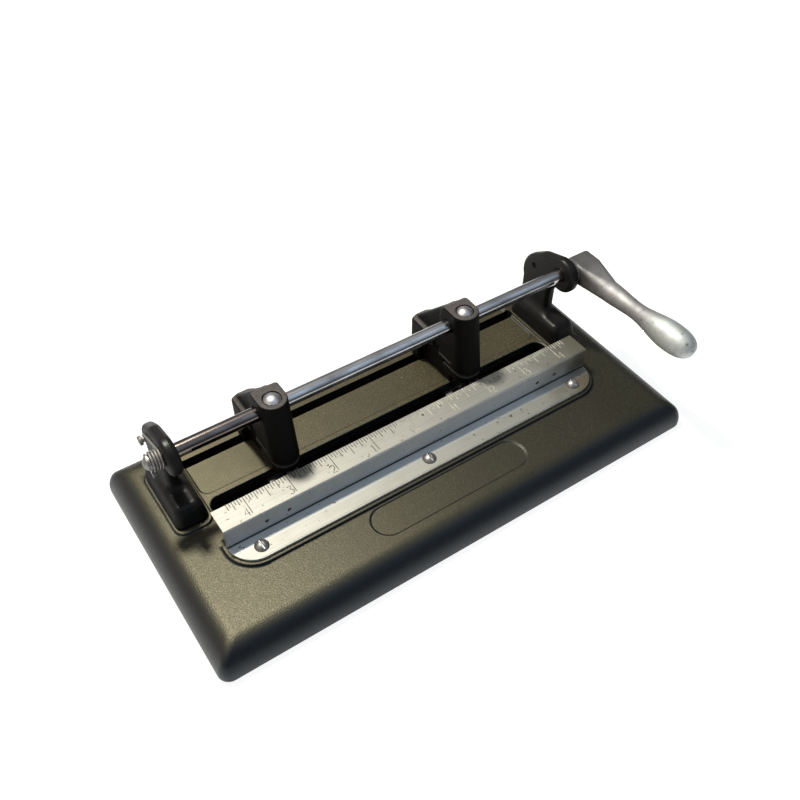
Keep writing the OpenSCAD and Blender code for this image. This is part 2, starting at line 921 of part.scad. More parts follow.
module left_head() {
    color(dark_iron)
        at_left()
            head();
}

module right_head() {
    color(dark_iron)
        at_right()
            head();
}

// Hardened ring that the punch enters
module die() {
    color(bright)
        translate([0, punch_y, die_z - die_h])
            difference() {
                cylinder(h = die_h, r = die_r);
                translate([0, 0, -1])
                    cylinder(h = die_h + 2, r = hole_d / 2 + run_fit);
                translate([0, 0, -1])
                    cylinder(h = die_h - 1, r = hole_d / 2 + 0.5);
            }
}

module left_die() {
    at_left()
        die();
}

module right_die() {
    at_right()
        die();
}

// Plate under the slot that keeps the head down, with the chip hole
module gib() {
    color(steel)
        difference() {
            translate([0, 0, tongue_z - gib_t])
                linear_extrude(gib_t)
                    round_rect(-head_r, head_r, slot_front - 5, slot_rear + 5, 2);
            translate([0, punch_y, 0])
                cylinder(h = 40, r = hole_d / 2 + 0.8);
            translate([0, slot_front + 5, 0])
                cylinder(h = 40, r = 1.75 + run_fit);
        }
}

module left_gib() {
    at_left()
        gib();
}

module right_gib() {
    at_right()
        gib();
}

module gib_screw() {
    color(steel)
        translate([0, slot_front + 5, tongue_z - gib_t]) {
            cylinder(h = gib_t + 7, r = 1.75);
            translate([0, 0, -2])
                difference() {
                    cylinder(h = 2, r = 3.2);
                    translate([-5, -0.4, -1])
                        cube([10, 0.8, 1.8]);
                }
        }
}

module left_gib_screw() {
    at_left()
        gib_screw();
}

module right_gib_screw() {
    at_right()
        gib_screw();
}

// Punch: domed stem, notched for the shaft and slotted for the key, over a round cutter
module punch() {
    slot_half_h = key_tip_r + slide_fit + 0.05;
    dome_r = 3.9;
    dome_h = 1.9;
    dome_ball = (dome_r * dome_r + dome_h * dome_h) / (2 * dome_h);
    color(bright)
        difference() {
            translate([0, punch_y, 0]) {
                translate([0, 0, jaw_z + 0.2])
                    cylinder(h = stem_foot - jaw_z, r = hole_d / 2);
                translate([0, 0, stem_foot])
                    cylinder(h = head_top - 0.4 - stem_foot, r = stem_r);
                translate([0, 0, head_top - 0.4])
                    rotate_extrude()
                        intersection() {
                            translate([0, dome_h - dome_ball])
                                circle(r = dome_ball);
                            square([dome_r, dome_h + 1]);
                        }
            }
            translate([-10, notch_y, notch_low])
                cube([20, 20, notch_high - notch_low]);
            translate([-10, shaft_y - key_reach - slot_half_h, shaft_z - slot_half_h])
                cube([20, 20, 2 * slot_half_h]);
        }
}

module left_punch() {
    at_left()
        punch();
}

module right_punch() {
    at_right()
        punch();
}

// Sliding key: sits in the shaft's groove and drives the punch with its round tip
module key() {
    floor_gap = 0.15;
    color(steel)
        translate([0, shaft_y, shaft_z]) {
            translate([-key_l / 2, -key_reach, -key_t / 2])
                cube([key_l, key_reach - groove_floor - floor_gap, key_t]);
            translate([0, -key_reach, 0])
                rod_x(-key_l / 2, key_l, key_tip_r);
        }
}

module left_key() {
    at_left()
        key();
}

module right_key() {
    at_right()
        key();
}

base_casting();
left_stand();
right_stand();
stand_screws();
ruler_gauge();
ruler_screws();
spring_anchor();
stand_plug();
stop_pin();
return_spring();
drive_shaft();
crank_handle();
handle_screw();
thrust_collar();
end_washer();
end_screw();
left_head();
right_head();
left_die();
right_die();
left_gib();
right_gib();
left_gib_screw();
right_gib_screw();
left_punch();
right_punch();
left_key();
right_key();
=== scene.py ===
import json
import math

import bpy
import numpy as np
from mathutils import Matrix, Vector
from mathutils.geometry import tessellate_polygon


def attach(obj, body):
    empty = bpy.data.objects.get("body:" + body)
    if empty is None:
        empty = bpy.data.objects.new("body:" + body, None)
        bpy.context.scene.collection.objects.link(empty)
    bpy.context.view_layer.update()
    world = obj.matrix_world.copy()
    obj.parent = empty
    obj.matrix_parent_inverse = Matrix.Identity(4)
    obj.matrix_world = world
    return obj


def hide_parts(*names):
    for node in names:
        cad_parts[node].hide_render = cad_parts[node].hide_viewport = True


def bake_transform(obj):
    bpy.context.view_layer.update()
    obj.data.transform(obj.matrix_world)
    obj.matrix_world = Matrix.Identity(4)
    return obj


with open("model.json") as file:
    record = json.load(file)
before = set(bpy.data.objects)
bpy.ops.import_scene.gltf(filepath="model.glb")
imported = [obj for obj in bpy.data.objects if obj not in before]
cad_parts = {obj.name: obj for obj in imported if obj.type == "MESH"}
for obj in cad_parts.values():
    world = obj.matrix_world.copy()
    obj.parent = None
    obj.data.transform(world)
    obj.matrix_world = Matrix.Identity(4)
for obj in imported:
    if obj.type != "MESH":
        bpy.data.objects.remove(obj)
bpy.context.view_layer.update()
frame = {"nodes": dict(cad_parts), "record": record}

# Sizes in millimetres, the same as in the part's source
MM = 0.001
INCH = 25.4
BASE_X, BASE_Y, BASE_TOP = 153, 73.5, 17.2
CEILING = 11.2
SHAFT_Y, SHAFT_Z, SHAFT_R = 18.6, 64.4, 4
BEARING_R = 4.12
STAND_X, STAND_HALF, STAND_SEAT = 126.5, 3.5, 18.2
STUD_Y, STUD_Z, STUD_HOLE_R = 40.4, 58, 1.56
HEADS = (("left", -70.4), ("right", 49.6))
HEAD_TOP, HEAD_HALF, TONGUE_HALF = 75, 8, 3.5
THROAT_LOW, THROAT_TOP = 34.8, 36.8
PUNCH_Y = 14.4
RULER_X, RULER_TOP, RULER_SEAT, FLANGE_TOP = 119.5, 34.0, 18.8, 20.4
RULER_SCREW_Y, RULER_SCREW_X = -25, (-104.2, 0, 104.2)
HUB_X = 139.5
END_SCREW_X = -137.49


# Fields: distance formulas on arrays of points

def smin(a, b, k):
    """Union with a soft inner corner of width k."""
    h = np.maximum(k - np.abs(a - b), 0.0) / k
    return np.minimum(a, b) - h * h * k / 4


def smax(a, b, k):
    """Intersection with a soft outer edge of width k."""
    return -smin(-a, -b, k)


def rmax(a, b, r):
    """Intersection with a round outer edge of radius r."""
    u = np.maximum(a + r, 0.0)
    v = np.maximum(b + r, 0.0)
    return np.minimum(np.maximum(a, b), -r) + np.hypot(u, v)


def rect2(u, v, u0, u1, v0, v1, r):
    """Rectangle with round corners, by its limits."""
    p = np.abs(u - (u0 + u1) / 2) - (u1 - u0) / 2 + r
    q = np.abs(v - (v0 + v1) / 2) - (v1 - v0) / 2 + r
    return np.hypot(np.maximum(p, 0), np.maximum(q, 0)) + np.minimum(np.maximum(p, q), 0) - r


def poly2(u, v, pts):
    """Closed outline through points."""
    d = np.full(np.shape(u), 1e9)
    s = np.ones(np.shape(u))
    for (xi, yi), (xj, yj) in zip(pts, pts[-1:] + pts[:-1]):
        ex, ey = xj - xi, yj - yi
        wx, wy = u - xi, v - yi
        t = np.clip((wx * ex + wy * ey) / max(ex * ex + ey * ey, 1e-12), 0, 1)
        d = np.minimum(d, (wx - ex * t) ** 2 + (wy - ey * t) ** 2)
        c1 = v >= yi
        c2 = v < yj
        c3 = ex * wy > ey * wx
        s = np.where((c1 & c2 & c3) | (~c1 & ~c2 & ~c3), -s, s)
    return s * np.sqrt(d)


def arc(c, r, a0, a1, n):
    """Points of an arc round c, angles in degrees, in n steps."""
    angles = [math.radians(a0 + (a1 - a0) * i / n) for i in range(n + 1)]
    return [(c[0] + r * math.cos(a), c[1] + r * math.sin(a)) for a in angles]


def nets(field, low, high, h):
    """Quad mesh of the zero surface of a field, moved onto it by its slope."""
    low = np.array(low, float)
    n = [int(math.ceil((high[i] - low[i]) / h)) + 1 for i in range(3)]
    axes = [low[i] + h * np.arange(n[i]) for i in range(3)]
    v = field(np.meshgrid(*axes, indexing="ij"))
    inside = v < 0
    cells = [m - 1 for m in n]

    def at(a, o):
        return a[o[0]:o[0] + cells[0], o[1]:o[1] + cells[1], o[2]:o[2] + cells[2]]

    # one point in each cell that the surface crosses
    pos = np.zeros(cells + [3])
    count = np.zeros(cells)
    for axis in range(3):
        for k in range(4):
            o1 = [0, 0, 0]
            o1[(axis + 1) % 3] = k % 2
            o1[(axis + 2) % 3] = k // 2
            o2 = list(o1)
            o2[axis] = 1
            a, b = at(v, o1), at(v, o2)
            cross = (a < 0) != (b < 0)
            t = np.where(cross, a / np.where(cross, a - b, 1.0), 0.0)
            for i in range(3):
                pos[..., i] += np.where(cross, o1[i] + (t if i == axis else 0.0), 0.0)
            count += cross
    active = count > 0
    index = np.full(cells, -1)
    index[active] = np.arange(active.sum())
    verts = low + h * (np.argwhere(active) + pos[active] / count[active][:, None])

    # one quad round each grid edge that it crosses
    quads = []
    for a in range(3):
        b, c = (a + 1) % 3, (a + 2) % 3
        first = [slice(1, -1)] * 3
        first[a] = slice(0, -1)
        second = [slice(1, -1)] * 3
        second[a] = slice(1, None)
        m = inside[tuple(first)] != inside[tuple(second)]
        loc = np.argwhere(m)
        loc[:, b] += 1
        loc[:, c] += 1
        q = []
        for db, dc in ((-1, -1), (0, -1), (0, 0), (-1, 0)):
            w = loc.copy()
            w[:, b] += db
            w[:, c] += dc
            q.append(index[w[:, 0], w[:, 1], w[:, 2]])
        q = np.stack(q, 1)
        flip = ~inside[tuple(first)][m]
        q[flip] = q[flip][:, ::-1]
        quads.append(q)

    # a few short steps onto the surface
    e = 0.04 * h
    for _ in range(3):
        d = field([verts[:, i] for i in range(3)])
        g = np.zeros_like(verts)
        for i in range(3):
            up, down = verts.copy(), verts.copy()
            up[:, i] += e
            down[:, i] -= e
            rise = field([up[:, j] for j in range(3)]) - field([down[:, j] for j in range(3)])
            g[:, i] = rise / (2 * e)
        step = d[:, None] * g / np.maximum((g * g).sum(1), 0.25)[:, None]
        size = np.linalg.norm(step, axis=1)
        step *= (np.minimum(size, 0.4 * h) / np.maximum(size, 1e-9))[:, None]
        verts = verts - step
    return verts, np.concatenate(quads).tolist()


# Lofts: rings of points joined into surfaces

class Loft:
    def __init__(self):
        self.verts = []
        self.faces = []

    def ring(self, pts):
        start = len(self.verts)
        self.verts += [tuple(map(float, p)) for p in pts]
        return list(range(start, start + len(pts)))

    def level(self, pts, z):
        return self.ring([(x, y, z) for x, y in pts])

    def bridge(self, a, b):
        n = len(a)
        for i in range(n):
            j = (i + 1) % n
            self.faces.append((a[i], a[j], b[j], b[i]))

    def stack(self, rings):
        for a, b in zip(rings, rings[1:]):
            self.bridge(a, b)

    def fill(self, loops, down=False):
        every = [i for loop in loops for i in loop]
        tris = tessellate_polygon([[Vector(self.verts[i]) for i in loop] for loop in loops])
        for t in tris:
            a, b, c = (Vector(self.verts[every[i]]) for i in t)
            up = (b - a).cross(c - a)
            t = tuple(every[i] for i in t)
            if (up.z < 0) != down:
                t = t[::-1]
            self.faces.append(t)


def rrect(x0, x1, y0, y1, r, n=10):
    """Rectangle with round corners, by its limits, n steps to a corner."""
    right, left, front, back = x1 - r, x0 + r, y0 + r, y1 - r
    pts = []
    for c, a in (((right, front), -90), ((right, back), 0), ((left, back), 90), ((left, front), 180)):
        pts += arc(c, r, a, a + 90, n)
    return pts


# Nodes of the materials

def shader(name, metallic, rough):
    m = bpy.data.materials.new(name)
    m.use_nodes = True
    t = m.node_tree
    t.nodes.clear()
    out = t.nodes.new("ShaderNodeOutputMaterial")
    b = t.nodes.new("ShaderNodeBsdfPrincipled")
    b.inputs["Metallic"].default_value = metallic
    b.inputs["Roughness"].default_value = rough
    t.links.new(b.outputs["BSDF"], out.inputs["Surface"])
    return m, t, b


def coords(t, stretch=(1, 1, 1)):
    tc = t.nodes.new("ShaderNodeTexCoord")
    mp = t.nodes.new("ShaderNodeMapping")
    mp.inputs["Scale"].default_value = stretch
    t.links.new(tc.outputs["Object"], mp.inputs["Vector"])
    return mp.outputs["Vector"]


def noise(t, scale, detail=4.0, rough=0.55, stretch=(1, 1, 1)):
    n = t.nodes.new("ShaderNodeTexNoise")
    n.inputs["Scale"].default_value = scale
    n.inputs["Detail"].default_value = detail
    n.inputs["Roughness"].default_value = rough
    t.links.new(coords(t, stretch), n.inputs["Vector"])
    return n.outputs["Fac"]


def ramp(t, fac, stops):
    r = t.nodes.new("ShaderNodeValToRGB")
    e = r.color_ramp.elements
    while len(e) < len(stops):
        e.new(0.5)
    for el, (p, c) in zip(e, stops):
        el.position = p
        el.color = (c, c, c, 1) if isinstance(c, (int, float)) else (*c, 1)
    t.links.new(fac, r.inputs["Fac"])
    return r.outputs["Color"]


def mix(t, fac, a, b):
    n = t.nodes.new("ShaderNodeMix")
    n.data_type = "RGBA"
    for key, kind, val in (("Factor", "VALUE", fac), ("A", "RGBA", a), ("B", "RGBA", b)):
        sock = next(s for s in n.inputs if s.name == key and s.type == kind)
        if isinstance(val, bpy.types.NodeSocket):
            t.links.new(val, sock)
        elif kind == "VALUE":
            sock.default_value = val
        else:
            sock.default_value = (*val, 1)
    return next(s for s in n.outputs if s.type == "RGBA")


def bump(t, b, height, strength):
    n = t.nodes.new("ShaderNodeBump")
    n.inputs["Strength"].default_value = strength
    n.inputs["Distance"].default_value = 0.0003
    t.links.new(height, n.inputs["Height"])
    t.links.new(n.outputs["Normal"], b.inputs["Normal"])


def math_node(t, op, *vals, clamp=False):
    n = t.nodes.new("ShaderNodeMath")
    n.operation = op
    n.use_clamp = clamp
    for sock, v in zip(n.inputs, vals):
        if isinstance(v, bpy.types.NodeSocket):
            t.links.new(v, sock)
        else:
            sock.default_value = v
    return n.outputs[0]


def times(t, a, b):
    return math_node(t, "MULTIPLY", a, b)


def line(t, value, slope, start):
    """slope * value + start."""
    return math_node(t, "ADD", times(t, value, slope), start)


def hypot(t, a, b):
    return math_node(t, "SQRT", math_node(t, "ADD", times(t, a, a), times(t, b, b)))


def split(t, vector):
    s = t.nodes.new("ShaderNodeSeparateXYZ")
    t.links.new(vector, s.inputs["Vector"])
    return s.outputs


def place(t):
    """X, Y and Z of a point on the piece, in metres."""
    return split(t, coords(t))


def normal(t):
    return split(t, t.nodes.new("ShaderNodeNewGeometry").outputs["Normal"])


def up_facing(t, start, end):
    """1 on faces that look up, 0 on the sides."""
    return ramp(t, normal(t)["Z"], [(start, 0.0), (end, 1.0)])


# Finishes

def japan():
    """Black japan, rubbed to an olive speckle where the paper slides, lighter at the left end partly as
    wear and partly as painted sheen.
    """
    m, t, b = shader("japanned_iron", 0.0, 0.42)
    grain = noise(t, 1300, 3, 0.7)
    coarse = noise(t, 420, 4, 0.7)
    cloud = noise(t, 45, 4, 0.6)
    up = up_facing(t, 0.86, 0.985)
    at = place(t)
    behind = ramp(t, line(t, at["Y"], 20.0, 0.5), [(0.16, 0.0), (0.3, 1.0)])
    between = ramp(t, math_node(t, "ABSOLUTE", at["X"]), [(0.1145, 1.0), (0.119, 0.0)])
    table = times(t, behind, between)
    # lighter towards the left end: partly wear, partly a painted sheen where the key light's reflection
    # falls
    left = ramp(t, line(t, at["X"], -6.0, 0.2), [(0.5, 0.0), (0.85, 0.45)])
    speck = ramp(t, grain, [(0.34, (0.007, 0.006, 0.0035)), (0.5, (0.03, 0.025, 0.0125)),
                            (0.66, (0.115, 0.095, 0.048))])
    speck = mix(t, ramp(t, coarse, [(0.58, 0.0), (0.72, 0.6)]), speck, (0.14, 0.118, 0.062))
    speck = mix(t, left, speck, (0.16, 0.137, 0.08))
    dark = ramp(t, grain, [(0.34, (0.003, 0.0034, 0.0026)), (0.52, (0.008, 0.0085, 0.006)),
                           (0.7, (0.045, 0.043, 0.028))])
    wear_and_painted_light = mix(t, table, dark, speck)
    wear_and_painted_light = mix(t, ramp(t, cloud, [(0.35, 0.0), (0.7, 0.45)]), wear_and_painted_light, (0.011, 0.011, 0.0075))
    t.links.new(mix(t, up, (0.003, 0.0034, 0.004), wear_and_painted_light), b.inputs["Base Color"])
    t.links.new(ramp(t, grain, [(0.3, 0.49), (0.7, 0.35)]), b.inputs["Roughness"])
    b.inputs["Specular IOR Level"].default_value = 0.66
    # specular tint: faces that look forward get a dimmer, bluish tint, a painted shade on their
    # reflections
    ahead = ramp(t, times(t, normal(t)["Y"], -1.0), [(0.1, 0.0), (0.6, 1.0)])
    sides = mix(t, ahead, (0.92, 0.95, 0.95), (0.5, 0.58, 0.66))
    t.links.new(mix(t, up, sides, (1.0, 0.925, 0.66)), b.inputs["Specular Tint"])
    bump(t, b, grain, 0.45)
    return m


def black(name, wear_and_sheen_dark, wear_and_sheen_light, spec, rough, top_rough, bore=None):
    """Black iron, lighter where it looks up, partly rubbed wear and partly painted sheen, dull round a
    cross hole.
    """
    m, t, b = shader(name, 0.0, 0.5)
    grain = noise(t, 700, 4, 0.6)
    up = up_facing(t, 0.62, 0.93)
    side = ramp(t, grain, [(0.3, (0.0015, 0.0015, 0.0015)), (0.7, (0.004, 0.0039, 0.0037))])
    # faces that look up are lighter: rubbed wear and a painted sheen
    top = ramp(t, grain, [(0.3, wear_and_sheen_dark), (0.7, wear_and_sheen_light)])
    t.links.new(mix(t, up, side, top), b.inputs["Base Color"])
    rubbed = ramp(t, noise(t, 260, 4), [(0.3, top_rough), (0.7, top_rough + 0.12)])
    t.links.new(mix(t, up, (rough, rough, rough), rubbed), b.inputs["Roughness"])
    b.inputs["Specular IOR Level"].default_value = spec
    if bore:
        at = place(t)
        off = hypot(t, *(math_node(t, "SUBTRACT", at[k], v * MM) for k, v in zip("YZ", bore)))
        ring = ramp(t, times(t, off, 100.0), [(0.17, 0.0), (0.2, 1.0)])
        t.links.new(times(t, ring, spec), b.inputs["Specular IOR Level"])
    bump(t, b, grain, 0.12)
    return m


def steel(name, light, dark, rough, scale=300, bumps=0.05):
    m, t, b = shader(name, 1.0, rough)
    grain = noise(t, scale, 5, 0.6)
    t.links.new(ramp(t, grain, [(0.3, dark), (0.65, light)]), b.inputs["Base Color"])
    t.links.new(ramp(t, grain, [(0.3, rough + 0.08), (0.7, rough - 0.04)]), b.inputs["Roughness"])
    bump(t, b, grain, bumps)
    return m


def ruler_steel():
    """Brushed steel with small pits, painted shade in the bend and tarnish at the right end; the riser
    and the flange strip in its shadow are painted brighter.
    """
    m, t, b = shader("ruler_steel", 1.0, 0.5)
    brush = noise(t, 700, 4, 0.6, (0.06, 1, 1))
    cloud = noise(t, 70, 4, 0.6)
    pits = ramp(t, noise(t, 420, 3, 0.5), [(0.27, 1.0), (0.33, 0.0)])
    at = place(t)
    strand = ramp(t, brush, [(0.3, 0.0), (0.7, 1.0)])
    plain = mix(t, strand, (0.32, 0.317, 0.287), (0.35, 0.346, 0.314))
    plain = mix(t, ramp(t, cloud, [(0.5, 0.0), (0.75, 0.3)]), plain, (0.25, 0.243, 0.21))

    # brown stain by the right screw
    d = t.nodes.new("ShaderNodeVectorMath")
    d.operation = "DISTANCE"
    d.inputs[1].default_value = (0.111, RULER_SCREW_Y * MM, FLANGE_TOP * MM)
    t.links.new(coords(t), d.inputs[0])
    near = math_node(t, "ADD", d.outputs["Value"], times(t, cloud, 0.012))
    plain = mix(t, ramp(t, near, [(0.011, 0.62), (0.02, 0.0)]), plain, (0.22, 0.13, 0.06))

    # riser painted brighter, a painted reflection of the light in front; rust at its right end
    riser = ramp(t, times(t, normal(t)["Y"], -1.0), [(0.6, 0.0), (0.85, 1.0)])
    plain = mix(t, riser, plain, mix(t, cloud, (0.56, 0.575, 0.585), (0.76, 0.775, 0.785)))
    end = math_node(t, "ADD", at["X"], times(t, cloud, 0.02))
    rust = times(t, ramp(t, end, [(0.108, 0.0), (0.122, 0.8)]), math_node(t, "MAXIMUM", riser, 0.5))
    plain = mix(t, rust, plain, (0.1, 0.075, 0.045))

    # flange strip in the riser's shadow painted brighter, a painted light; tarnish towards the right
    low = ramp(t, times(t, at["Z"], 10.0), [(0.215, 1.0), (0.23, 0.0)])
    painted_light_strip_y = ramp(t, times(t, at["Y"], -10.0), [(0.215, 1.0), (0.235, 0.0)])
    plain = mix(t, times(t, times(t, low, painted_light_strip_y), 0.9), plain, (0.62, 0.665, 0.68))
    far = math_node(t, "ADD", times(t, at["X"], 5.0), times(t, cloud, 0.4))
    tarnish = ramp(t, math_node(t, "ADD", far, 0.2), [(0.78, 0.0), (0.95, 0.55)])
    plain = mix(t, tarnish, plain, (0.17, 0.165, 0.125))

    # painted shade: darker along the inside of the bend
    y = math_node(t, "ADD", at["Y"], 0.0168)
    z = math_node(t, "ADD", at["Z"], -FLANGE_TOP * MM)
    painted_bend_shade = ramp(t, times(t, hypot(t, y, z), 100.0), [(0.035, 0.9), (0.085, 0.0)])
    plain = mix(t, painted_bend_shade, plain, (0.05, 0.045, 0.04))
    t.links.new(mix(t, pits, plain, (0.09, 0.08, 0.07)), b.inputs["Base Color"])
    t.links.new(ramp(t, brush, [(0.3, 0.575), (0.7, 0.545)]), b.inputs["Roughness"])
    bump(t, b, brush, 0.05)
    return m


def mark_steel():
    """Scored lines: dark on the left and light towards the right, painted light that stands in for how
    the light catches them.
    """
    m, t, b = shader("ruler_marks", 0.0, 0.55)
    grain = noise(t, 260, 4)
    # painted light: the lines go from dark to light along X
    along = math_node(t, "ADD", times(t, place(t)["X"], 10.0), times(t, grain, 0.5))
    wear_and_painted_light = ramp(t, math_node(t, "ADD", along, 0.2), [(0.3, 0.0), (0.6, 1.0)])
    dark = ramp(t, grain, [(0.3, (0.035, 0.031, 0.024)), (0.7, (0.075, 0.068, 0.052))])
    light = ramp(t, grain, [(0.35, (0.3, 0.285, 0.23)), (0.65, (0.62, 0.595, 0.5))])
    t.links.new(mix(t, wear_and_painted_light, dark, light), b.inputs["Base Color"])
    b.inputs["Specular IOR Level"].default_value = 0.25
    return m


def shaft_steel():
    """Polished steel with a brown patina towards the left end."""
    m, t, b = shader("shaft_steel", 1.0, 0.22)
    grain = noise(t, 130, 5, 0.6, (0.35, 1, 1))
    clean = ramp(t, grain, [(0.3, (0.3, 0.29, 0.285)), (0.65, (0.6, 0.6, 0.61))])
    brown = ramp(t, grain, [(0.3, (0.045, 0.034, 0.028)), (0.65, (0.19, 0.15, 0.13))])
    left = math_node(t, "ADD", times(t, place(t)["X"], -10.0), times(t, grain, 0.3))
    patina = ramp(t, left, [(0.75, 0.0), (0.95, 0.85)])
    t.links.new(mix(t, patina, clean, brown), b.inputs["Base Color"])
    t.links.new(ramp(t, grain, [(0.3, 0.25), (0.7, 0.15)]), b.inputs["Roughness"])
    bump(t, b, grain, 0.05)
    return m


def handle_steel():
    """Satin steel, tarnished on the hub, flecked on the bulb and paler there, partly as painted light
    on the bulb.
    """
    m, t, b = shader("handle_steel", 1.0, 0.5)
    grain = noise(t, 110, 5, 0.6)
    y = place(t)["Y"]
    arm = ramp(t, grain, [(0.3, (0.31, 0.303, 0.303)), (0.65, (0.43, 0.423, 0.426))])
    # paler towards the bulb: pale flecked steel and partly painted light
    pale = ramp(t, grain, [(0.3, (0.46, 0.48, 0.47)), (0.65, (0.66, 0.69, 0.68))])
    tone = mix(t, ramp(t, times(t, y, -10.0), [(0.36, 0.0), (0.52, 1.0)]), arm, pale)
    hub = ramp(t, line(t, y, 20.0, 0.5), [(0.3, 0.0), (0.75, 1.0)])
    tarnish = ramp(t, grain, [(0.3, (0.12, 0.118, 0.118)), (0.65, (0.2, 0.198, 0.198))])
    tone = mix(t, hub, tone, tarnish)
    fleck = ramp(t, noise(t, 320, 3, 0.5), [(0.3, 0.6), (0.37, 0.0)])
    t.links.new(mix(t, fleck, tone, (0.13, 0.12, 0.1)), b.inputs["Base Color"])
    t.links.new(ramp(t, grain, [(0.3, 0.68), (0.7, 0.58)]), b.inputs["Roughness"])
    bump(t, b, grain, 0.05)
    return m


JAPAN = japan()
BLACK = black("black_iron", (0.055, 0.048, 0.047), (0.098, 0.087, 0.083), 0.1, 0.6, 0.38)
STAND = black("stand_iron", (0.003, 0.0026, 0.0022), (0.008, 0.007, 0.0058), 0.27, 0.6, 0.3,
              bore=(STUD_Y, STUD_Z))
RULER = ruler_steel()
BRIGHT = steel("bright_steel", (0.62, 0.615, 0.63), (0.44, 0.43, 0.44), 0.34, 150)
SHAFT = shaft_steel()
SCREW = steel("screw_steel", (0.36, 0.355, 0.35), (0.2, 0.19, 0.18), 0.46, 500, bumps=0.02)
TOOL = steel("tool_steel", (0.6, 0.59, 0.57), (0.38, 0.36, 0.34), 0.28, 500)
WIRE = steel("spring_steel", (0.34, 0.33, 0.31), (0.24, 0.23, 0.22), 0.6, 500, bumps=0.01)
MARK = mark_steel()
HANDLE = handle_steel()
DULL = steel("dull_steel", (0.03, 0.028, 0.025), (0.015, 0.014, 0.012), 0.6, 500)
SLOTS = {"japanned_iron": JAPAN, "black_iron": BLACK, "ruler_steel": RULER,
         "bright_steel": BRIGHT, "screw_steel": SCREW, "tool_steel": TOOL}


# Pieces

def piece(name, verts, faces, body, nodes, slot, mat=None, angle=35.0, flat=None):
    """Mesh from millimetres; faces larger than flat square millimetres are shaded flat."""
    mesh = bpy.data.meshes.new(name)
    mesh.from_pydata((np.asarray(verts, float) * MM).tolist(), [], [tuple(f) for f in faces])
    mesh.validate()
    mesh.polygons.foreach_set("use_smooth", [True] * len(mesh.polygons))
    mesh.set_sharp_from_angle(angle=math.radians(angle))
    if flat:
        for p in mesh.polygons:
            if p.area > flat * MM * MM:
                p.use_smooth = False
    mesh.update()
    obj = bpy.data.objects.new(name, mesh)
    bpy.context.scene.collection.objects.link(obj)
    mesh.materials.append(mat or SLOTS[slot])
    if body:
        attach(obj, body)
    if nodes:
        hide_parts(*nodes)
    return obj


def carve(o, cut):
    """Cuts a closed loft out of a piece."""
    mesh = bpy.data.meshes.new("cut")
    mesh.from_pydata((np.array(cut.verts) * MM).tolist(), [], cut.faces)
    tool = bpy.data.objects.new("cut", mesh)
    bpy.context.scene.collection.objects.link(tool)
    mod = o.modifiers.new("cut", "BOOLEAN")
    mod.operation = "DIFFERENCE"
    mod.solver = "EXACT"
    mod.object = tool
    done = bpy.data.meshes.new_from_object(o.evaluated_get(bpy.context.evaluated_depsgraph_get()))
    o.modifiers.clear()
    o.data = done
    bpy.data.objects.remove(tool)


# Base casting

def flange_line(g, rear):
    """Outline of the ruler's flange grown by g: round front corners, straight rear."""
    front, corner = -32.3, 15
    x, y, r = RULER_X + g, front - g, corner + g
    corners = arc((-x + r, y + r), r, 180, 270, 14) + arc((x - r, y + r), r, 270, 360, 14)
    return [(x, rear), (-x, rear)] + corners


def slot_line(g):
    return rrect(-114.2 - g, 114.2 + g, -1 - g, 19 + g, 6 + g, 8)


def panel_line(g):
    return rrect(-114.6 - g, 114.6 + g, 23 - g, 58 + g, 5 + g, 8)


def plate_line(g):
    """The bare oval."""
    half, mid, r = 50, -45.4, 9.8
    return rrect(-half - g, half + g, mid - r - g, mid + r + g, r + g, 16)


def seat_line(g):
    return flange_line(2 + g, -12.8 + g)


def pad_line(side):
    """Seat of a stand."""
    half = 10.6
    return lambda g: rrect(side * STAND_X - half - g, side * STAND_X + half + g,
                           4.2 - g, 53.8 + g, 6 + g, 8)


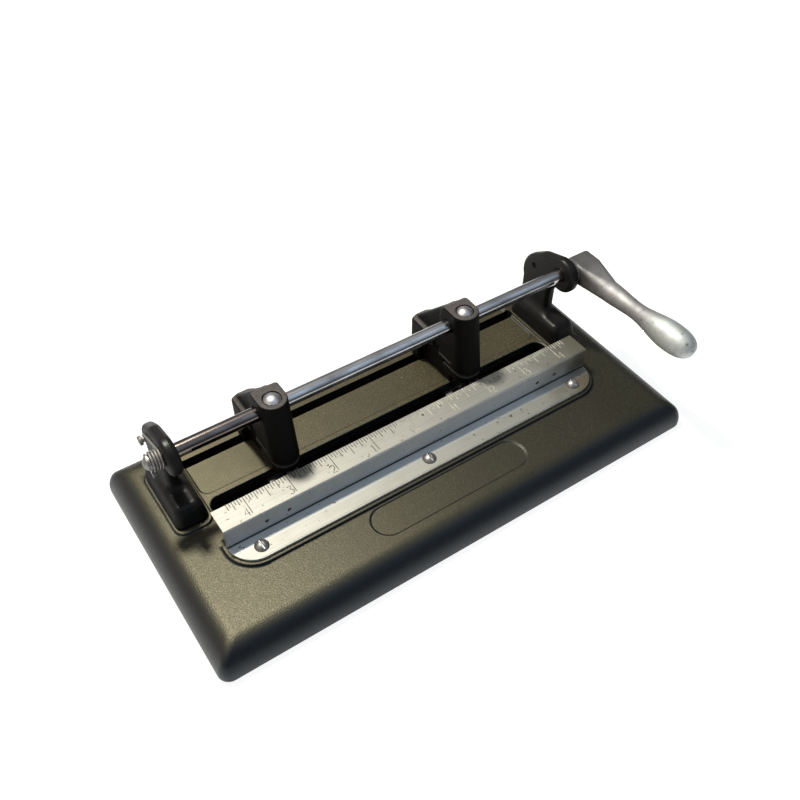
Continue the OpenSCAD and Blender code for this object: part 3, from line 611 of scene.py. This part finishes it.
def base():
    b = Loft()
    corner_steps, roll_steps = 24, 20
    lip, roll_r = 2.2, 15

    def outer(inset, z):
        x, y = BASE_X - inset, BASE_Y - inset
        return b.level(rrect(-x, x, -y, y, max(6.5 - inset, 3.4), corner_steps), z)

    roll = [outer(0.6, 0), outer(0.15, 0.3), outer(0, 0.8), outer(0, lip)]
    for i in range(1, roll_steps + 1):
        a = math.pi / 2 * i / roll_steps
        roll.append(outer(roll_r * (1 - math.cos(a)), lip + roll_r * math.sin(a)))
    b.stack(roll)

    def well(outline, steps):
        rings = [b.level(outline(g), z) for g, z in steps]
        b.stack([r[::-1] for r in rings])
        return rings

    def boss(outline, steps):
        rings = [b.level(outline(g), z) for g, z in steps]
        b.stack(rings)
        b.fill([rings[-1]])
        return rings

    slot = well(slot_line, [(0.9, BASE_TOP), (0.45, 17.08), (0.12, 16.75), (0, 16.3), (0, 11.5),
                            (0.3, CEILING)])
    panel = well(panel_line, [(0.6, BASE_TOP), (0.3, 17.12), (0.05, 16.9), (-0.2, 16.45),
                              (-0.5, 16.25), (-1, 16.2)])
    b.fill([panel[-1]])
    plate = well(plate_line, [(0.7, BASE_TOP), (0.35, 17.14), (0.05, 16.95), (-0.2, 16.72),
                              (-0.6, 16.6)])
    b.fill([plate[-1]])
    seat = boss(seat_line, [(1.2, BASE_TOP), (0.55, 17.32), (0.12, 17.7), (0, 18.3),
                            (-0.2, 18.65), (-0.6, RULER_SEAT)])
    pads = [boss(pad_line(s), [(0.6, BASE_TOP), (0.25, 17.3), (0, 17.6), (-0.1, 17.9),
                               (-0.3, 18.1), (-0.7, STAND_SEAT)]) for s in (-1, 1)]
    b.fill([roll[-1], slot[0], panel[0], plate[0], seat[0], pads[0][0], pads[1][0]])

    # underside: rim, inner wall, ceiling round the slot
    def inner(g, z):
        return b.level(rrect(-144 - g, 144 + g, -64.5 - g, 64.5 + g, 8 + g, corner_steps), z)

    hollow = [inner(0.6, 0), inner(0.1, 0.5), inner(0, 1.2), inner(0, 9.2), inner(-0.6, 10.6),
              inner(-2, CEILING)]
    b.bridge(hollow[0], roll[0])
    b.stack([r[::-1] for r in hollow])
    b.fill([hollow[-1], slot[-1]], down=True)
    o = piece("base_shell", b.verts, b.faces, "base", ["base_casting"], "japanned_iron",
              angle=40, flat=8)

    # narrow slot behind, for the rear tongues of the heads
    rear_slot = rrect(-116.3, 116.3, 46.4, 52.6, 1.5, 6)
    cut = Loft()
    low, top = cut.level(rear_slot, 9), cut.level(rear_slot, 20)
    cut.bridge(low, top)
    cut.faces += [tuple(low[::-1]), tuple(top)]
    carve(o, cut)


base()


# Stands: a foot, a neck and a plate round the nose, middle and rear lobe

CHEEK = (arc((SHAFT_Y, 63.6), 10.9, -80, -287.4, 60) + arc((30.2, 58.6), 12.2, 72.6, 55.2, 8)
         + arc((35.8, 50.8), 15.4, 55.2, -60, 40))


def stand_field(p):
    x, y, z = p
    plate = poly2(y, z, CHEEK)
    neck = rect2(y, z, 25.6, 50.2, 22, 52, 1)
    ahead = np.clip((36 - y) / 6, 0.01, 1)
    body = rmax(smin(plate, neck, 4 * ahead), np.abs(x) - STAND_HALF, 2.7)

    # foot that narrows as it rises; its front and rear ends add up to foot_ends
    foot_half, foot_l, foot_ends, foot_top, corner = 9.25, 45, 59.4, 30.2, 4.5
    taper_low, taper_h = 20.2, 8
    t = np.clip((z - taper_low) / taper_h, 0, 1)
    q0 = np.abs(x) - (foot_half - 1.2 * t) + corner
    q1 = np.abs(y - (foot_ends + 1.6 * t) / 2) - (foot_l - 3.6 * t) / 2 + corner
    plan = np.hypot(np.maximum(q0, 0), np.maximum(q1, 0)) + np.minimum(np.maximum(q0, q1), 0) - corner
    foot = rmax(plan, z - foot_top, 4.0)
    d = smin(foot, body, 6.0)
    d = np.maximum(d, STAND_SEAT - z)
    d = smax(d, BEARING_R - np.hypot(y - SHAFT_Y, z - SHAFT_Z), 0.5)
    return np.maximum(d, STUD_HOLE_R - np.hypot(y - STUD_Y, z - STUD_Z))


verts, quads = nets(stand_field, (-10.4, 5, 17.4), (10.4, 55, 77), 0.5)
for side, s in (("left", -1), ("right", 1)):
    piece(side + "_stand_cast", verts + np.array([s * STAND_X, 0, 0]), quads, "base",
          [side + "_stand"], "black_iron", STAND, angle=50)


# Punch heads, outlines as Y and Z

SIDE = ([(21.5, THROAT_LOW), (21.5, 61.4), (27.4, 61.4)] + arc((41.4, 59), 14, 180, 270, 16)
        + arc((52.2, 40), 5, 90, 0, 10)
        + [(57.2, 16.5), (46, 16.5)] + arc((40, 30.2), 6, 0, 90, 8)
        + [(30, 38.6), (28.2, 42.2), (24.5, 37.4), (22.1, 31.4), (19.1, 29)]
        + [(2.5, 29), (1.1, 30.4), (1.1, 34.2), (1.7, THROAT_LOW)])
RAMP = [(25.4, 41), (25.4, 70.6), (28.4, 70.3), (52.2, 47.2), (54.6, 44.6), (54.6, 41)]
WEB = [(19.8, 31), (21.6, THROAT_LOW), (22.5, 45.8), (48, 39.2), (48, 16.5), (37, 16.5), (36, 17.5),
       (19.8, 17.5)]
JAW_Y, RAMP_HALF = 9.1, 4
KEY_ROOM_R, KEY_ROOM_HALF = 6.9, 4.7
PLUNGER_BORE_R, PLUNGER_BORE_LOW = 4.56, 51.8
CAP_BORE_R, CAP_BORE_LOW = 5.0, 73.8
PUNCH_BORE_R, CHIP_BORE_R, CHIP_BORE_TOP = 3.24, 3.98, 31
DIE_BORE_R, DIE_LOW, DIE_TOP = 5.64, 30.28, 36
GIB_HOLE_Y, GIB_HOLE_R, GIB_HOLE_TOP = 4, 1.8, 20.9


def head_field(p):
    x, y, z = p
    ax = np.abs(x)

    # front column, leaning back, with a round front
    front = np.interp(z, [THROAT_TOP, 66.5, 70.5, 74.2, HEAD_TOP], [1.1, 5.23, 5.86, 6.4, 6.4])
    rear = np.interp(z, [66.9, 69.3, 72.2, 74.3, HEAD_TOP], [27.4, 27.0, 26.1, 24.3, 23.3])
    cy = front + HEAD_HALF
    col = np.where(y < cy, np.hypot(x, y - cy) - HEAD_HALF, ax - HEAD_HALF)
    col = rmax(col, y - rear, 1.8)
    col = rmax(col, z - HEAD_TOP, 1.0)
    col = np.maximum(col, THROAT_TOP - z)

    # C-frame, ramp, web and tongues
    plan = np.where(y < JAW_Y, np.hypot(x, y - JAW_Y) - HEAD_HALF,
                    rect2(x, y, -HEAD_HALF, HEAD_HALF, -40, 57.2, 5))
    body = rmax(poly2(y, z, SIDE), plan, 1.4)
    brace = rmax(poly2(y, z, RAMP), ax - RAMP_HALF, 1.5)
    d = smin(np.minimum(col, body), brace, 4.0)
    web = rmax(poly2(y, z, WEB), ax - TONGUE_HALF, 0.8)
    d = smin(d, web, 2.0)
    tongue = np.maximum(rect2(y, z, -0.7, 8.3, 10.9, 31, 0.4), ax - TONGUE_HALF)
    guide = np.maximum(rect2(y, z, 46.8, 52.2, 12.2, 22, 0.4), ax - TONGUE_HALF)
    d = np.minimum(np.minimum(d, tongue), guide)

    # throat for the paper, hollow flanks, shaft bore and room for the key
    d = smax(d, -rect2(y, z, -5, 21.5, THROAT_LOW, THROAT_TOP, 0.3), 0.5)
    hollow = rmax(rect2(y, z, 13.4, 31.4, 38.4, 49.8, 3.0), 7.0 - ax, 0.8)
    d = smax(d, -hollow, 0.8)
    from_shaft = np.hypot(y - SHAFT_Y, z - SHAFT_Z)
    d = smax(d, BEARING_R - from_shaft, 0.5)
    d = np.maximum(d, -np.maximum(from_shaft - KEY_ROOM_R, ax - KEY_ROOM_HALF))

    # bores of plunger, cap, punch, die and chips, and the gib screw's hole
    from_punch = np.hypot(x, y - PUNCH_Y)
    d = np.maximum(d, -np.maximum(from_punch - PLUNGER_BORE_R, PLUNGER_BORE_LOW - z))
    d = smax(d, -np.maximum(from_punch - CAP_BORE_R, CAP_BORE_LOW - z), 0.4)
    d = np.maximum(d, -np.maximum(from_punch - PUNCH_BORE_R, DIE_TOP - z))
    d = np.maximum(d, -np.maximum(from_punch - DIE_BORE_R, np.maximum(DIE_LOW - z, z - DIE_TOP)))
    d = np.maximum(d, -np.maximum(from_punch - CHIP_BORE_R, z - CHIP_BORE_TOP))
    from_gib_screw = np.hypot(x, y - GIB_HOLE_Y)
    return np.maximum(d, -np.maximum(from_gib_screw - GIB_HOLE_R, z - GIB_HOLE_TOP))


verts, quads = nets(head_field, (-8.8, -1.6, 10.2), (8.8, 58.2, 76), 0.45)
for side, x in HEADS:
    piece(side + "_head_cast", verts + np.array([x, 0, 0]), quads, side + "_carriage",
          [side + "_head"], "black_iron", angle=50)


# Domed caps of the punches

def cap(side, x):
    cap_r, ball_r, cap_top, steps = 4.45, 6.16, 76.5, 12
    b = Loft()

    def circle(r, z):
        return b.level(arc((x, PUNCH_Y), r, 0, 352.5, 47), z)

    rings = [circle(cap_r, 74.2), circle(cap_r, 74.6)]
    for i in range(1, steps + 1):
        r = cap_r * math.cos(math.pi / 2 * i / steps) + 0.02
        rings.append(circle(r, cap_top - ball_r + math.sqrt(ball_r ** 2 - r * r)))
    b.stack(rings)
    b.fill([rings[-1]])
    piece(side + "_punch_cap", b.verts, b.faces, side + "_plunger", [], "bright_steel", angle=40)


for side, x in HEADS:
    cap(side, x)


# Ruler

def ruler():
    b = Loft()
    prof = ([(-1.85, RULER_TOP), (-1.6, 33.75), (-1.6, 32.65), (-1.85, 32.4), (-15.2, 32.4),
             (-15.2, RULER_SEAT), (-16.8, RULER_SEAT)] + arc((-16.0, 33.2), 0.8, 180, 90, 8))
    rings = [b.ring([(x, y, z) for y, z in prof]) for x in (-RULER_X, RULER_X)]
    b.bridge(rings[1], rings[0])
    b.faces += [tuple(rings[0][::-1]), tuple(rings[1])]
    o = piece("ruler_bend", b.verts, b.faces, "base", ["ruler_gauge"], "ruler_steel",
              angle=35, flat=60)

    # small holes in the riser
    hole_r, hole_z = 1.2, 26.2
    turn = np.linspace(0, 2 * math.pi, 24, endpoint=False)
    cut = Loft()
    for x in (-96, -83, 83, 96):
        a, c = (cut.ring([(x + hole_r * math.cos(t), y, hole_z + hole_r * math.sin(t)) for t in turn])
                for y in (-18, -14))
        cut.bridge(c, a)
        cut.faces += [tuple(a), tuple(c[::-1])]
    carve(o, cut)

    f = Loft()
    steps = ((-0.1, RULER_SEAT), (0, 18.9), (0, 20.05), (-0.1, 20.3), (-0.35, FLANGE_TOP))
    rings = [f.level(flange_line(g, -15.6), z) for g, z in steps]
    f.stack(rings)
    f.fill([rings[-1]])
    f.fill([rings[0]], down=True)
    piece("ruler_flange", f.verts, f.faces, "base", [], "ruler_steel", angle=40, flat=60)


def strokes(lines, w, z):
    """Thin flat bands along lines in plan, for engraved marks."""
    rise, spread = 0.03, 1.15
    v, f = [], []
    for points in lines:
        points = [np.array(p, float) for p in points]
        start = len(v)
        for i, p in enumerate(points):
            d = points[min(i + 1, len(points) - 1)] - points[max(i - 1, 0)]
            d /= np.linalg.norm(d)
            nrm = np.array([-d[1], d[0]]) * w / 2
            v += [(*(p + spread * nrm), z), (*(p + nrm), z + rise),
                  (*(p - nrm), z + rise), (*(p - spread * nrm), z)]
        for i in range(len(points) - 1):
            k = start + 4 * i
            f += [(k + j, k + j + 1, k + j + 5, k + j + 4) for j in range(3)]
    return v, [q[::-1] for q in f]


# Strokes of plain figures, in shares of their height and width
ROUND = [(0.3 + 0.28 * math.cos(t), 0.5 + 0.5 * math.sin(t)) for t in np.linspace(0, 2 * math.pi, 21)]
DIGITS = {"0": ROUND,
          "1": [(0.12, 0.8), (0.32, 1), (0.32, 0)],
          "2": [(0, 0.74), (0.08, 0.92), (0.3, 1), (0.52, 0.92), (0.6, 0.73), (0.48, 0.48), (0, 0),
                (0.6, 0)],
          "3": [(0.02, 1), (0.58, 1), (0.27, 0.6), (0.5, 0.53), (0.6, 0.3), (0.5, 0.08), (0.28, 0),
                (0, 0.1)],
          "4": [(0.44, 0), (0.44, 1), (0, 0.3), (0.62, 0.3)]}


def tick_length(sixteenths):
    for part, length in ((16, 12.4), (8, 7.6), (4, 5.8), (2, 4.4)):
        if sixteenths % part == 0:
            return length
    return 3.1


def marks():
    edge, digit_w, digit_h, digit_y = -1.9, 4.4, 5.2, -14.4
    lines = []
    for i in range(-70, 71):
        x = i * INCH / 16
        lines.append([(x, edge), (x, edge - tick_length(i) + 0.3)])
    thin = strokes(lines, 0.38, RULER_TOP)
    numbers = []
    for i in range(-4, 5):
        x = i * INCH + (0.9 if i > 0 else -3.6)
        numbers.append([(x + digit_w * px, digit_y + digit_h * py) for px, py in DIGITS[str(abs(i))]])
    bold = strokes(numbers, 0.4, RULER_TOP)
    n = len(thin[0])
    faces = thin[1] + [tuple(k + n for k in q) for q in bold[1]]
    piece("ruler_scale", thin[0] + bold[0], faces, "base", [], "ruler_steel", MARK, angle=5)


ruler()
marks()


# Slotted round-head screws

def dome_screw(r, ball, sink, slot_turn, slot_w, slot_z, shank, depth):
    """Head on z = 0 with its slot turned by an angle, and a shank below."""
    c, s = math.cos(math.radians(slot_turn)), math.sin(math.radians(slot_turn))

    def field(p):
        x, y, z = p
        rr = np.hypot(x, y)
        d = np.sqrt(x * x + y * y + (z + sink) ** 2) - ball
        d = smax(d, rr - r, 0.3)
        d = smax(d, -z, 0.2)
        groove = np.maximum(np.abs(-s * x + c * y) - slot_w / 2, slot_z - z)
        d = smax(d, -groove, 0.25)
        return np.minimum(d, np.maximum(rr - shank, np.maximum(z - 0.5, -depth - z)))

    return field


def ruler_screws():
    screw = dome_screw(r=4.1, ball=4.6, sink=2.08, slot_turn=92, slot_w=0.9, slot_z=1.2,
                       shank=1.95, depth=8.5)
    v, q = nets(screw, (-5, -5, -9), (5, 5, 3.4), 0.17)
    verts = [v + np.array([x, RULER_SCREW_Y, FLANGE_TOP]) for x in RULER_SCREW_X]
    faces = []
    for i in range(len(verts)):
        faces += (np.array(q) + i * len(v)).tolist()
    piece("ruler_screw_heads", np.concatenate(verts), faces, "base", ["ruler_screws"], "screw_steel",
          angle=50)


def end_screw():
    screw = dome_screw(r=3.9, ball=4.4, sink=2.0, slot_turn=35, slot_w=0.8, slot_z=1.4,
                       shank=1.45, depth=8.5)
    v, q = nets(screw, (-4.4, -4.4, -9), (4.4, 4.4, 3), 0.16)
    along_shaft = np.stack([-v[:, 2], v[:, 1], v[:, 0]], 1)
    piece("end_screw_head", along_shaft + np.array([END_SCREW_X, SHAFT_Y, SHAFT_Z]), q, "crank",
          ["end_screw"], "bright_steel", SCREW, angle=50)


def anchor_field(p):
    """Slotted stud along X: a flat head and a shank."""
    head_x, head_half, head_r = -133.5, 0.9, 2.6
    slot_floor, slot_half = -133.6, 0.4
    shank_x, shank_half, shank_r = -128.1, 4.5, 1.48
    x, y, z = p
    r = np.hypot(y, z)
    d = rmax(r - head_r, np.abs(x - head_x) - head_half, 0.35)
    d = smax(d, -np.maximum(np.abs(y) - slot_half, x - slot_floor), 0.15)
    return np.minimum(d, np.maximum(r - shank_r, np.abs(x - shank_x) - shank_half))


ruler_screws()
end_screw()
verts, quads = nets(anchor_field, (-135, -3, -3), (-123, 3, 3), 0.14)
piece("spring_stud", verts + np.array([0, STUD_Y, STUD_Z]), quads, "base", ["spring_anchor"],
      "screw_steel", WIRE, angle=50)


# Shaft with its long groove

def shaft():
    groove_half, groove_end = 1.0, 116
    b = Loft()

    def circle(angles):
        return [(SHAFT_R * math.cos(t), SHAFT_R * math.sin(t)) for t in angles]

    full = circle(np.linspace(-math.pi, math.pi, 96, endpoint=False))
    half = math.asin(groove_half / SHAFT_R)
    cut = (circle(np.linspace(-math.pi + half, math.pi - half, 93))
           + [(-3.9, 0.95), (-2.25, groove_half), (-2.2, 0.0), (-2.25, -groove_half), (-3.9, -0.95)])

    def run(prof, stations):
        rings = [b.ring([(x, SHAFT_Y + k * y, SHAFT_Z + k * z) for y, z in prof]) for x, k in stations]
        b.stack([r[::-1] for r in rings])
        b.faces += [tuple(rings[0][::-1]), tuple(rings[-1])]

    run(full, [(-136.45, 0.9), (-136.1, 1), (-groove_end, 1)])
    run(cut, [(-groove_end - 0.02, 0.999), (groove_end + 0.02, 0.999)])
    run(full, [(groove_end, 1), (146.2, 1), (146.5, 0.93)])
    piece("rock_shaft", b.verts, b.faces, "crank", ["drive_shaft"], "bright_steel", SHAFT, angle=30)


shaft()


# Crank handle: square hub running into a round arm, waist and bulb

ARM_R, WAIST_R, BULB_R = 6.3, 5.1, 8.4
WAIST_AT, BULB_AT, BULB_POWER = 0.34, 0.74, 2.6


def smooth(t):
    return t * t * (3 - 2 * t)


def grip_r(t):
    """Radius of the grip, t from the arm to its tip."""
    if t < WAIST_AT:
        return ARM_R + (WAIST_R - ARM_R) * smooth(t / WAIST_AT)
    if t < BULB_AT:
        return WAIST_R + (BULB_R - WAIST_R) * smooth((t - WAIST_AT) / (BULB_AT - WAIST_AT))
    round_ = max(0, 1 - ((t - BULB_AT) / (1 - BULB_AT)) ** BULB_POWER)
    return BULB_R * round_ ** (1 / BULB_POWER)


def handle():
    hub_w, hub_h, hub_r = 8, 6.4, 1.9
    arm_start, arm_l, arm_drop, arm_steps = -7, 19, -1.5, 15
    grip_l, grip_steps, rise = 66, 60, math.radians(1.8)
    b = Loft()

    def ring(y, w, h, r, z):
        r = min(r, w - 1e-3, h - 1e-3)
        pts = rrect(-w, w, -h, h, r, 12)
        return b.ring([(HUB_X + px, SHAFT_Y + y, SHAFT_Z + z + pz) for px, pz in pts])

    rings = []
    for y, e in ((4.3, 1.5), (4.2, 0.85), (3.9, 0.38), (3.4, 0.1), (2.8, 0.0)):
        rings.append(ring(y, hub_w - e, hub_h - e, hub_r, 0))
    rings.append(ring(-2, hub_w, hub_h, hub_r, 0))
    for i in range(arm_steps):
        t = i / arm_steps
        w, h = hub_w + (ARM_R - hub_w) * t, hub_h + (ARM_R - hub_h) * t
        rings.append(ring(arm_start - arm_l * t, w, h, hub_r + (ARM_R - hub_r) * t, arm_drop * t))
    for i in range(grip_steps + 1):
        t = i / grip_steps
        r = max(grip_r(t), 0.06)
        y = arm_start - arm_l - grip_l * t * math.cos(rise)
        rings.append(ring(y, r, r, r, arm_drop + grip_l * t * math.sin(rise)))
    b.stack([r[::-1] for r in rings])
    b.faces += [tuple(rings[0]), tuple(rings[-1][::-1])]
    piece("crank_handle_forged", b.verts, b.faces, "crank", ["crank_handle"], "bright_steel", HANDLE,
          angle=40)


handle()


# Return spring: a loop on the stud, a leg to the coil, the coil and a short leg

def bend(a, da, c, dc, pull, t):
    """Point at t on a curve that leaves a along da and reaches c along dc."""
    h = (2 * t ** 3 - 3 * t ** 2 + 1,
         t ** 3 - 2 * t ** 2 + t,
         -2 * t ** 3 + 3 * t ** 2,
         t ** 3 - t ** 2)
    return h[0] * a + h[1] * pull * da + h[2] * c + h[3] * pull * dc


def spring():
    start_x, pitch, coil_r, turns, coil_start = -130.75, 1.48, 4.8, 3.375, 64
    loop_r, wire_r = 2.23, 0.71
    path = [np.array([start_x, STUD_Y + loop_r * math.cos(a), STUD_Z + loop_r * math.sin(a)])
            for a in np.radians(np.linspace(-30, 70, 9))]
    coil = []
    for t in np.linspace(0, turns, 109):
        a = math.radians(coil_start + 360 * t)
        coil.append(np.array([start_x - pitch * t, SHAFT_Y + coil_r * math.cos(a),
                              SHAFT_Z + coil_r * math.sin(a)]))

    # the leg leaves the loop and meets the coil along their own directions
    a, c = path[-1], coil[0]
    da, dc = path[-1] - path[-2], coil[1] - coil[0]
    da, dc = da / np.linalg.norm(da), dc / np.linalg.norm(dc)
    pull = np.linalg.norm(c - a) * 0.6
    leg = [bend(a, da, c, dc, pull, t) for t in np.linspace(0, 1, 14)[1:-1]]
    e = math.radians(coil_start + 360 * turns)
    tangent = np.array([0, -math.sin(e), math.cos(e)])
    out = [coil[-1] + k * tangent + np.array([-0.1 * min(1, k / 2), 0, 0])
           for k in (0.8, 1.8, 2.8, 4.0, 5.4)]
    path = path + leg + coil + out

    b = Loft()
    rings = []
    side = np.array([1.0, 0.13, 0.07])
    for i, p in enumerate(path):
        d = path[min(i + 1, len(path) - 1)] - path[max(i - 1, 0)]
        d /= np.linalg.norm(d)
        u = np.cross(d, side)
        u /= np.linalg.norm(u)
        w = np.cross(d, u)
        rings.append(b.ring([p + wire_r * (math.cos(k) * u + math.sin(k) * w)
                             for k in np.linspace(0, 2 * math.pi, 10, endpoint=False)]))
    b.stack(rings)
    b.faces += [tuple(rings[0][::-1]), tuple(rings[-1])]
    o = piece("spring_wire", b.verts, b.faces, None, ["return_spring"], "bright_steel", WIRE, angle=60)
    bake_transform(o)


spring()


# Finishes of the CAD pieces that stay in view
for entry in frame["record"]["subparts"]:
    n = entry["node"]
    mesh = frame["nodes"][n].data
    mesh.materials.clear()
    mesh.materials.append(DULL if n == "stand_plug" else SLOTS[entry["material_slot"]])


# Camera, from the photo's edges

def camera():
    pixels, focal_px, shift_px = 800, 875.6, (-5.0, 47.5)
    turn, pitch, roll = (math.radians(k) for k in (34.3262, 49.4318, -0.4374))
    eye_at = Vector((-0.18618, -0.27362, 0.39191))
    cam = bpy.data.cameras.new("camera")
    cam.sensor_width = 36
    cam.lens = focal_px / pixels * cam.sensor_width
    cam.shift_x = shift_px[0] / pixels
    cam.shift_y = shift_px[1] / pixels
    cam.clip_start = 0.01
    cam.clip_end = 20
    fwd = Vector((math.sin(turn) * math.cos(pitch), math.cos(turn) * math.cos(pitch), -math.sin(pitch)))
    level = Vector((math.cos(turn), -math.sin(turn), 0))
    below = fwd.cross(level)
    right = level * math.cos(roll) + below * math.sin(roll)
    down = below * math.cos(roll) - level * math.sin(roll)
    eye = bpy.data.objects.new("camera", cam)
    bpy.context.scene.collection.objects.link(eye)
    m = Matrix((right, -down, -fwd)).transposed().to_4x4()
    m.translation = eye_at
    eye.matrix_world = m
    bpy.context.scene.camera = eye


# Light

def key_lamp():
    spot, target = Vector((-0.112, 0.30, 0.78)), Vector((-0.02, 0, 0.03))
    d = bpy.data.lights.new("key", "AREA")
    d.shape = "RECTANGLE"
    d.size, d.size_y = 0.09, 0.09
    d.energy = 7.8
    d.color = (1.0, 0.965, 0.86)
    o = bpy.data.objects.new("key", d)
    bpy.context.scene.collection.objects.link(o)
    o.location = spot
    o.rotation_euler = (target - spot).to_track_quat("-Z", "Y").to_euler()


def studio():
    """Soft light: brighter above and on the left, cool in front, warm on the left, with a window."""
    world = bpy.data.worlds.new("studio")
    bpy.context.scene.world = world
    world.use_nodes = True
    t = world.node_tree
    t.nodes.clear()
    out = t.nodes.new("ShaderNodeOutputWorld")
    bg = t.nodes.new("ShaderNodeBackground")
    t.links.new(bg.outputs["Background"], out.inputs["Surface"])
    ray = t.nodes.new("ShaderNodeTexCoord").outputs["Generated"]
    way = split(t, ray)
    east = line(t, way["X"], 0.5, 0.5)
    north = line(t, way["Y"], 0.5, 0.5)

    high = ramp(t, way["Z"], [(0.0, 0.16), (0.5, 0.34), (0.8, 0.5)])
    aside = ramp(t, way["X"], [(0.46, 1.0), (0.66, 0.36)])
    ahead = ramp(t, north, [(0.1, 0.5), (0.4, 1.0)])
    flank = ramp(t, east, [(0.06, 2.0), (0.3, 1.0)])
    level = times(t, times(t, times(t, high, aside), ahead), flank)
    window = t.nodes.new("ShaderNodeVectorMath")
    window.operation = "DOT_PRODUCT"
    window.inputs[1].default_value = (0.4, -0.52, 0.755)
    t.links.new(ray, window.inputs[0])
    pane = ramp(t, window.outputs["Value"], [(0.84, 0.0), (0.97, 0.36)])
    t.links.new(math_node(t, "ADD", level, pane), bg.inputs["Strength"])

    back = math_node(t, "ADD", times(t, way["Y"], 0.7), 0.5, clamp=True)
    west = ramp(t, east, [(0.18, 1.0), (0.42, 0.0)])
    tint = mix(t, back, (0.74, 0.9, 1.12), (1.0, 1.0, 1.0))
    t.links.new(mix(t, west, tint, (1.08, 0.97, 0.85)), bg.inputs["Color"])


# Floor: pale, white to the camera, painted dark below the base as painted shade

def white_floor():
    reach, below, glow = 3, -0.0004, 0.85
    mesh = bpy.data.meshes.new("floor")
    corners = [(x * reach, y * reach, below) for x, y in ((-1, -1), (1, -1), (1, 1), (-1, 1))]
    mesh.from_pydata(corners, [], [(0, 1, 2, 3)])
    floor = bpy.data.objects.new("floor", mesh)
    bpy.context.scene.collection.objects.link(floor)
    m, t, b = shader("floor_white", 0.0, 0.9)
    at = split(t, t.nodes.new("ShaderNodeTexCoord").outputs["Object"])
    past_x = math_node(t, "SUBTRACT", math_node(t, "ABSOLUTE", at["X"]), 0.1485)
    past_y = math_node(t, "SUBTRACT", math_node(t, "ABSOLUTE", at["Y"]), 0.069)
    clear = math_node(t, "MULTIPLY", math_node(t, "MAXIMUM", past_x, past_y), 600.0, clamp=True)
    pale = ramp(t, noise(t, 6, 2), [(0.0, 0.3), (1.0, 0.32)])
    # painted shade: below the base the floor is dark and does not glow
    t.links.new(mix(t, clear, (0.01, 0.01, 0.01), pale), b.inputs["Base Color"])
    ray = t.nodes.new("ShaderNodeLightPath")
    seen = math_node(t, "MAXIMUM", times(t, ray.outputs["Is Camera Ray"], glow),
                     times(t, ray.outputs["Is Glossy Ray"], glow))
    b.inputs["Emission Color"].default_value = (1, 1, 1, 1)
    t.links.new(times(t, seen, clear), b.inputs["Emission Strength"])
    mesh.materials.append(m)
    return floor


camera()
key_lamp()
studio()
ground = white_floor()

bpy.context.scene.view_settings.view_transform = "Standard"
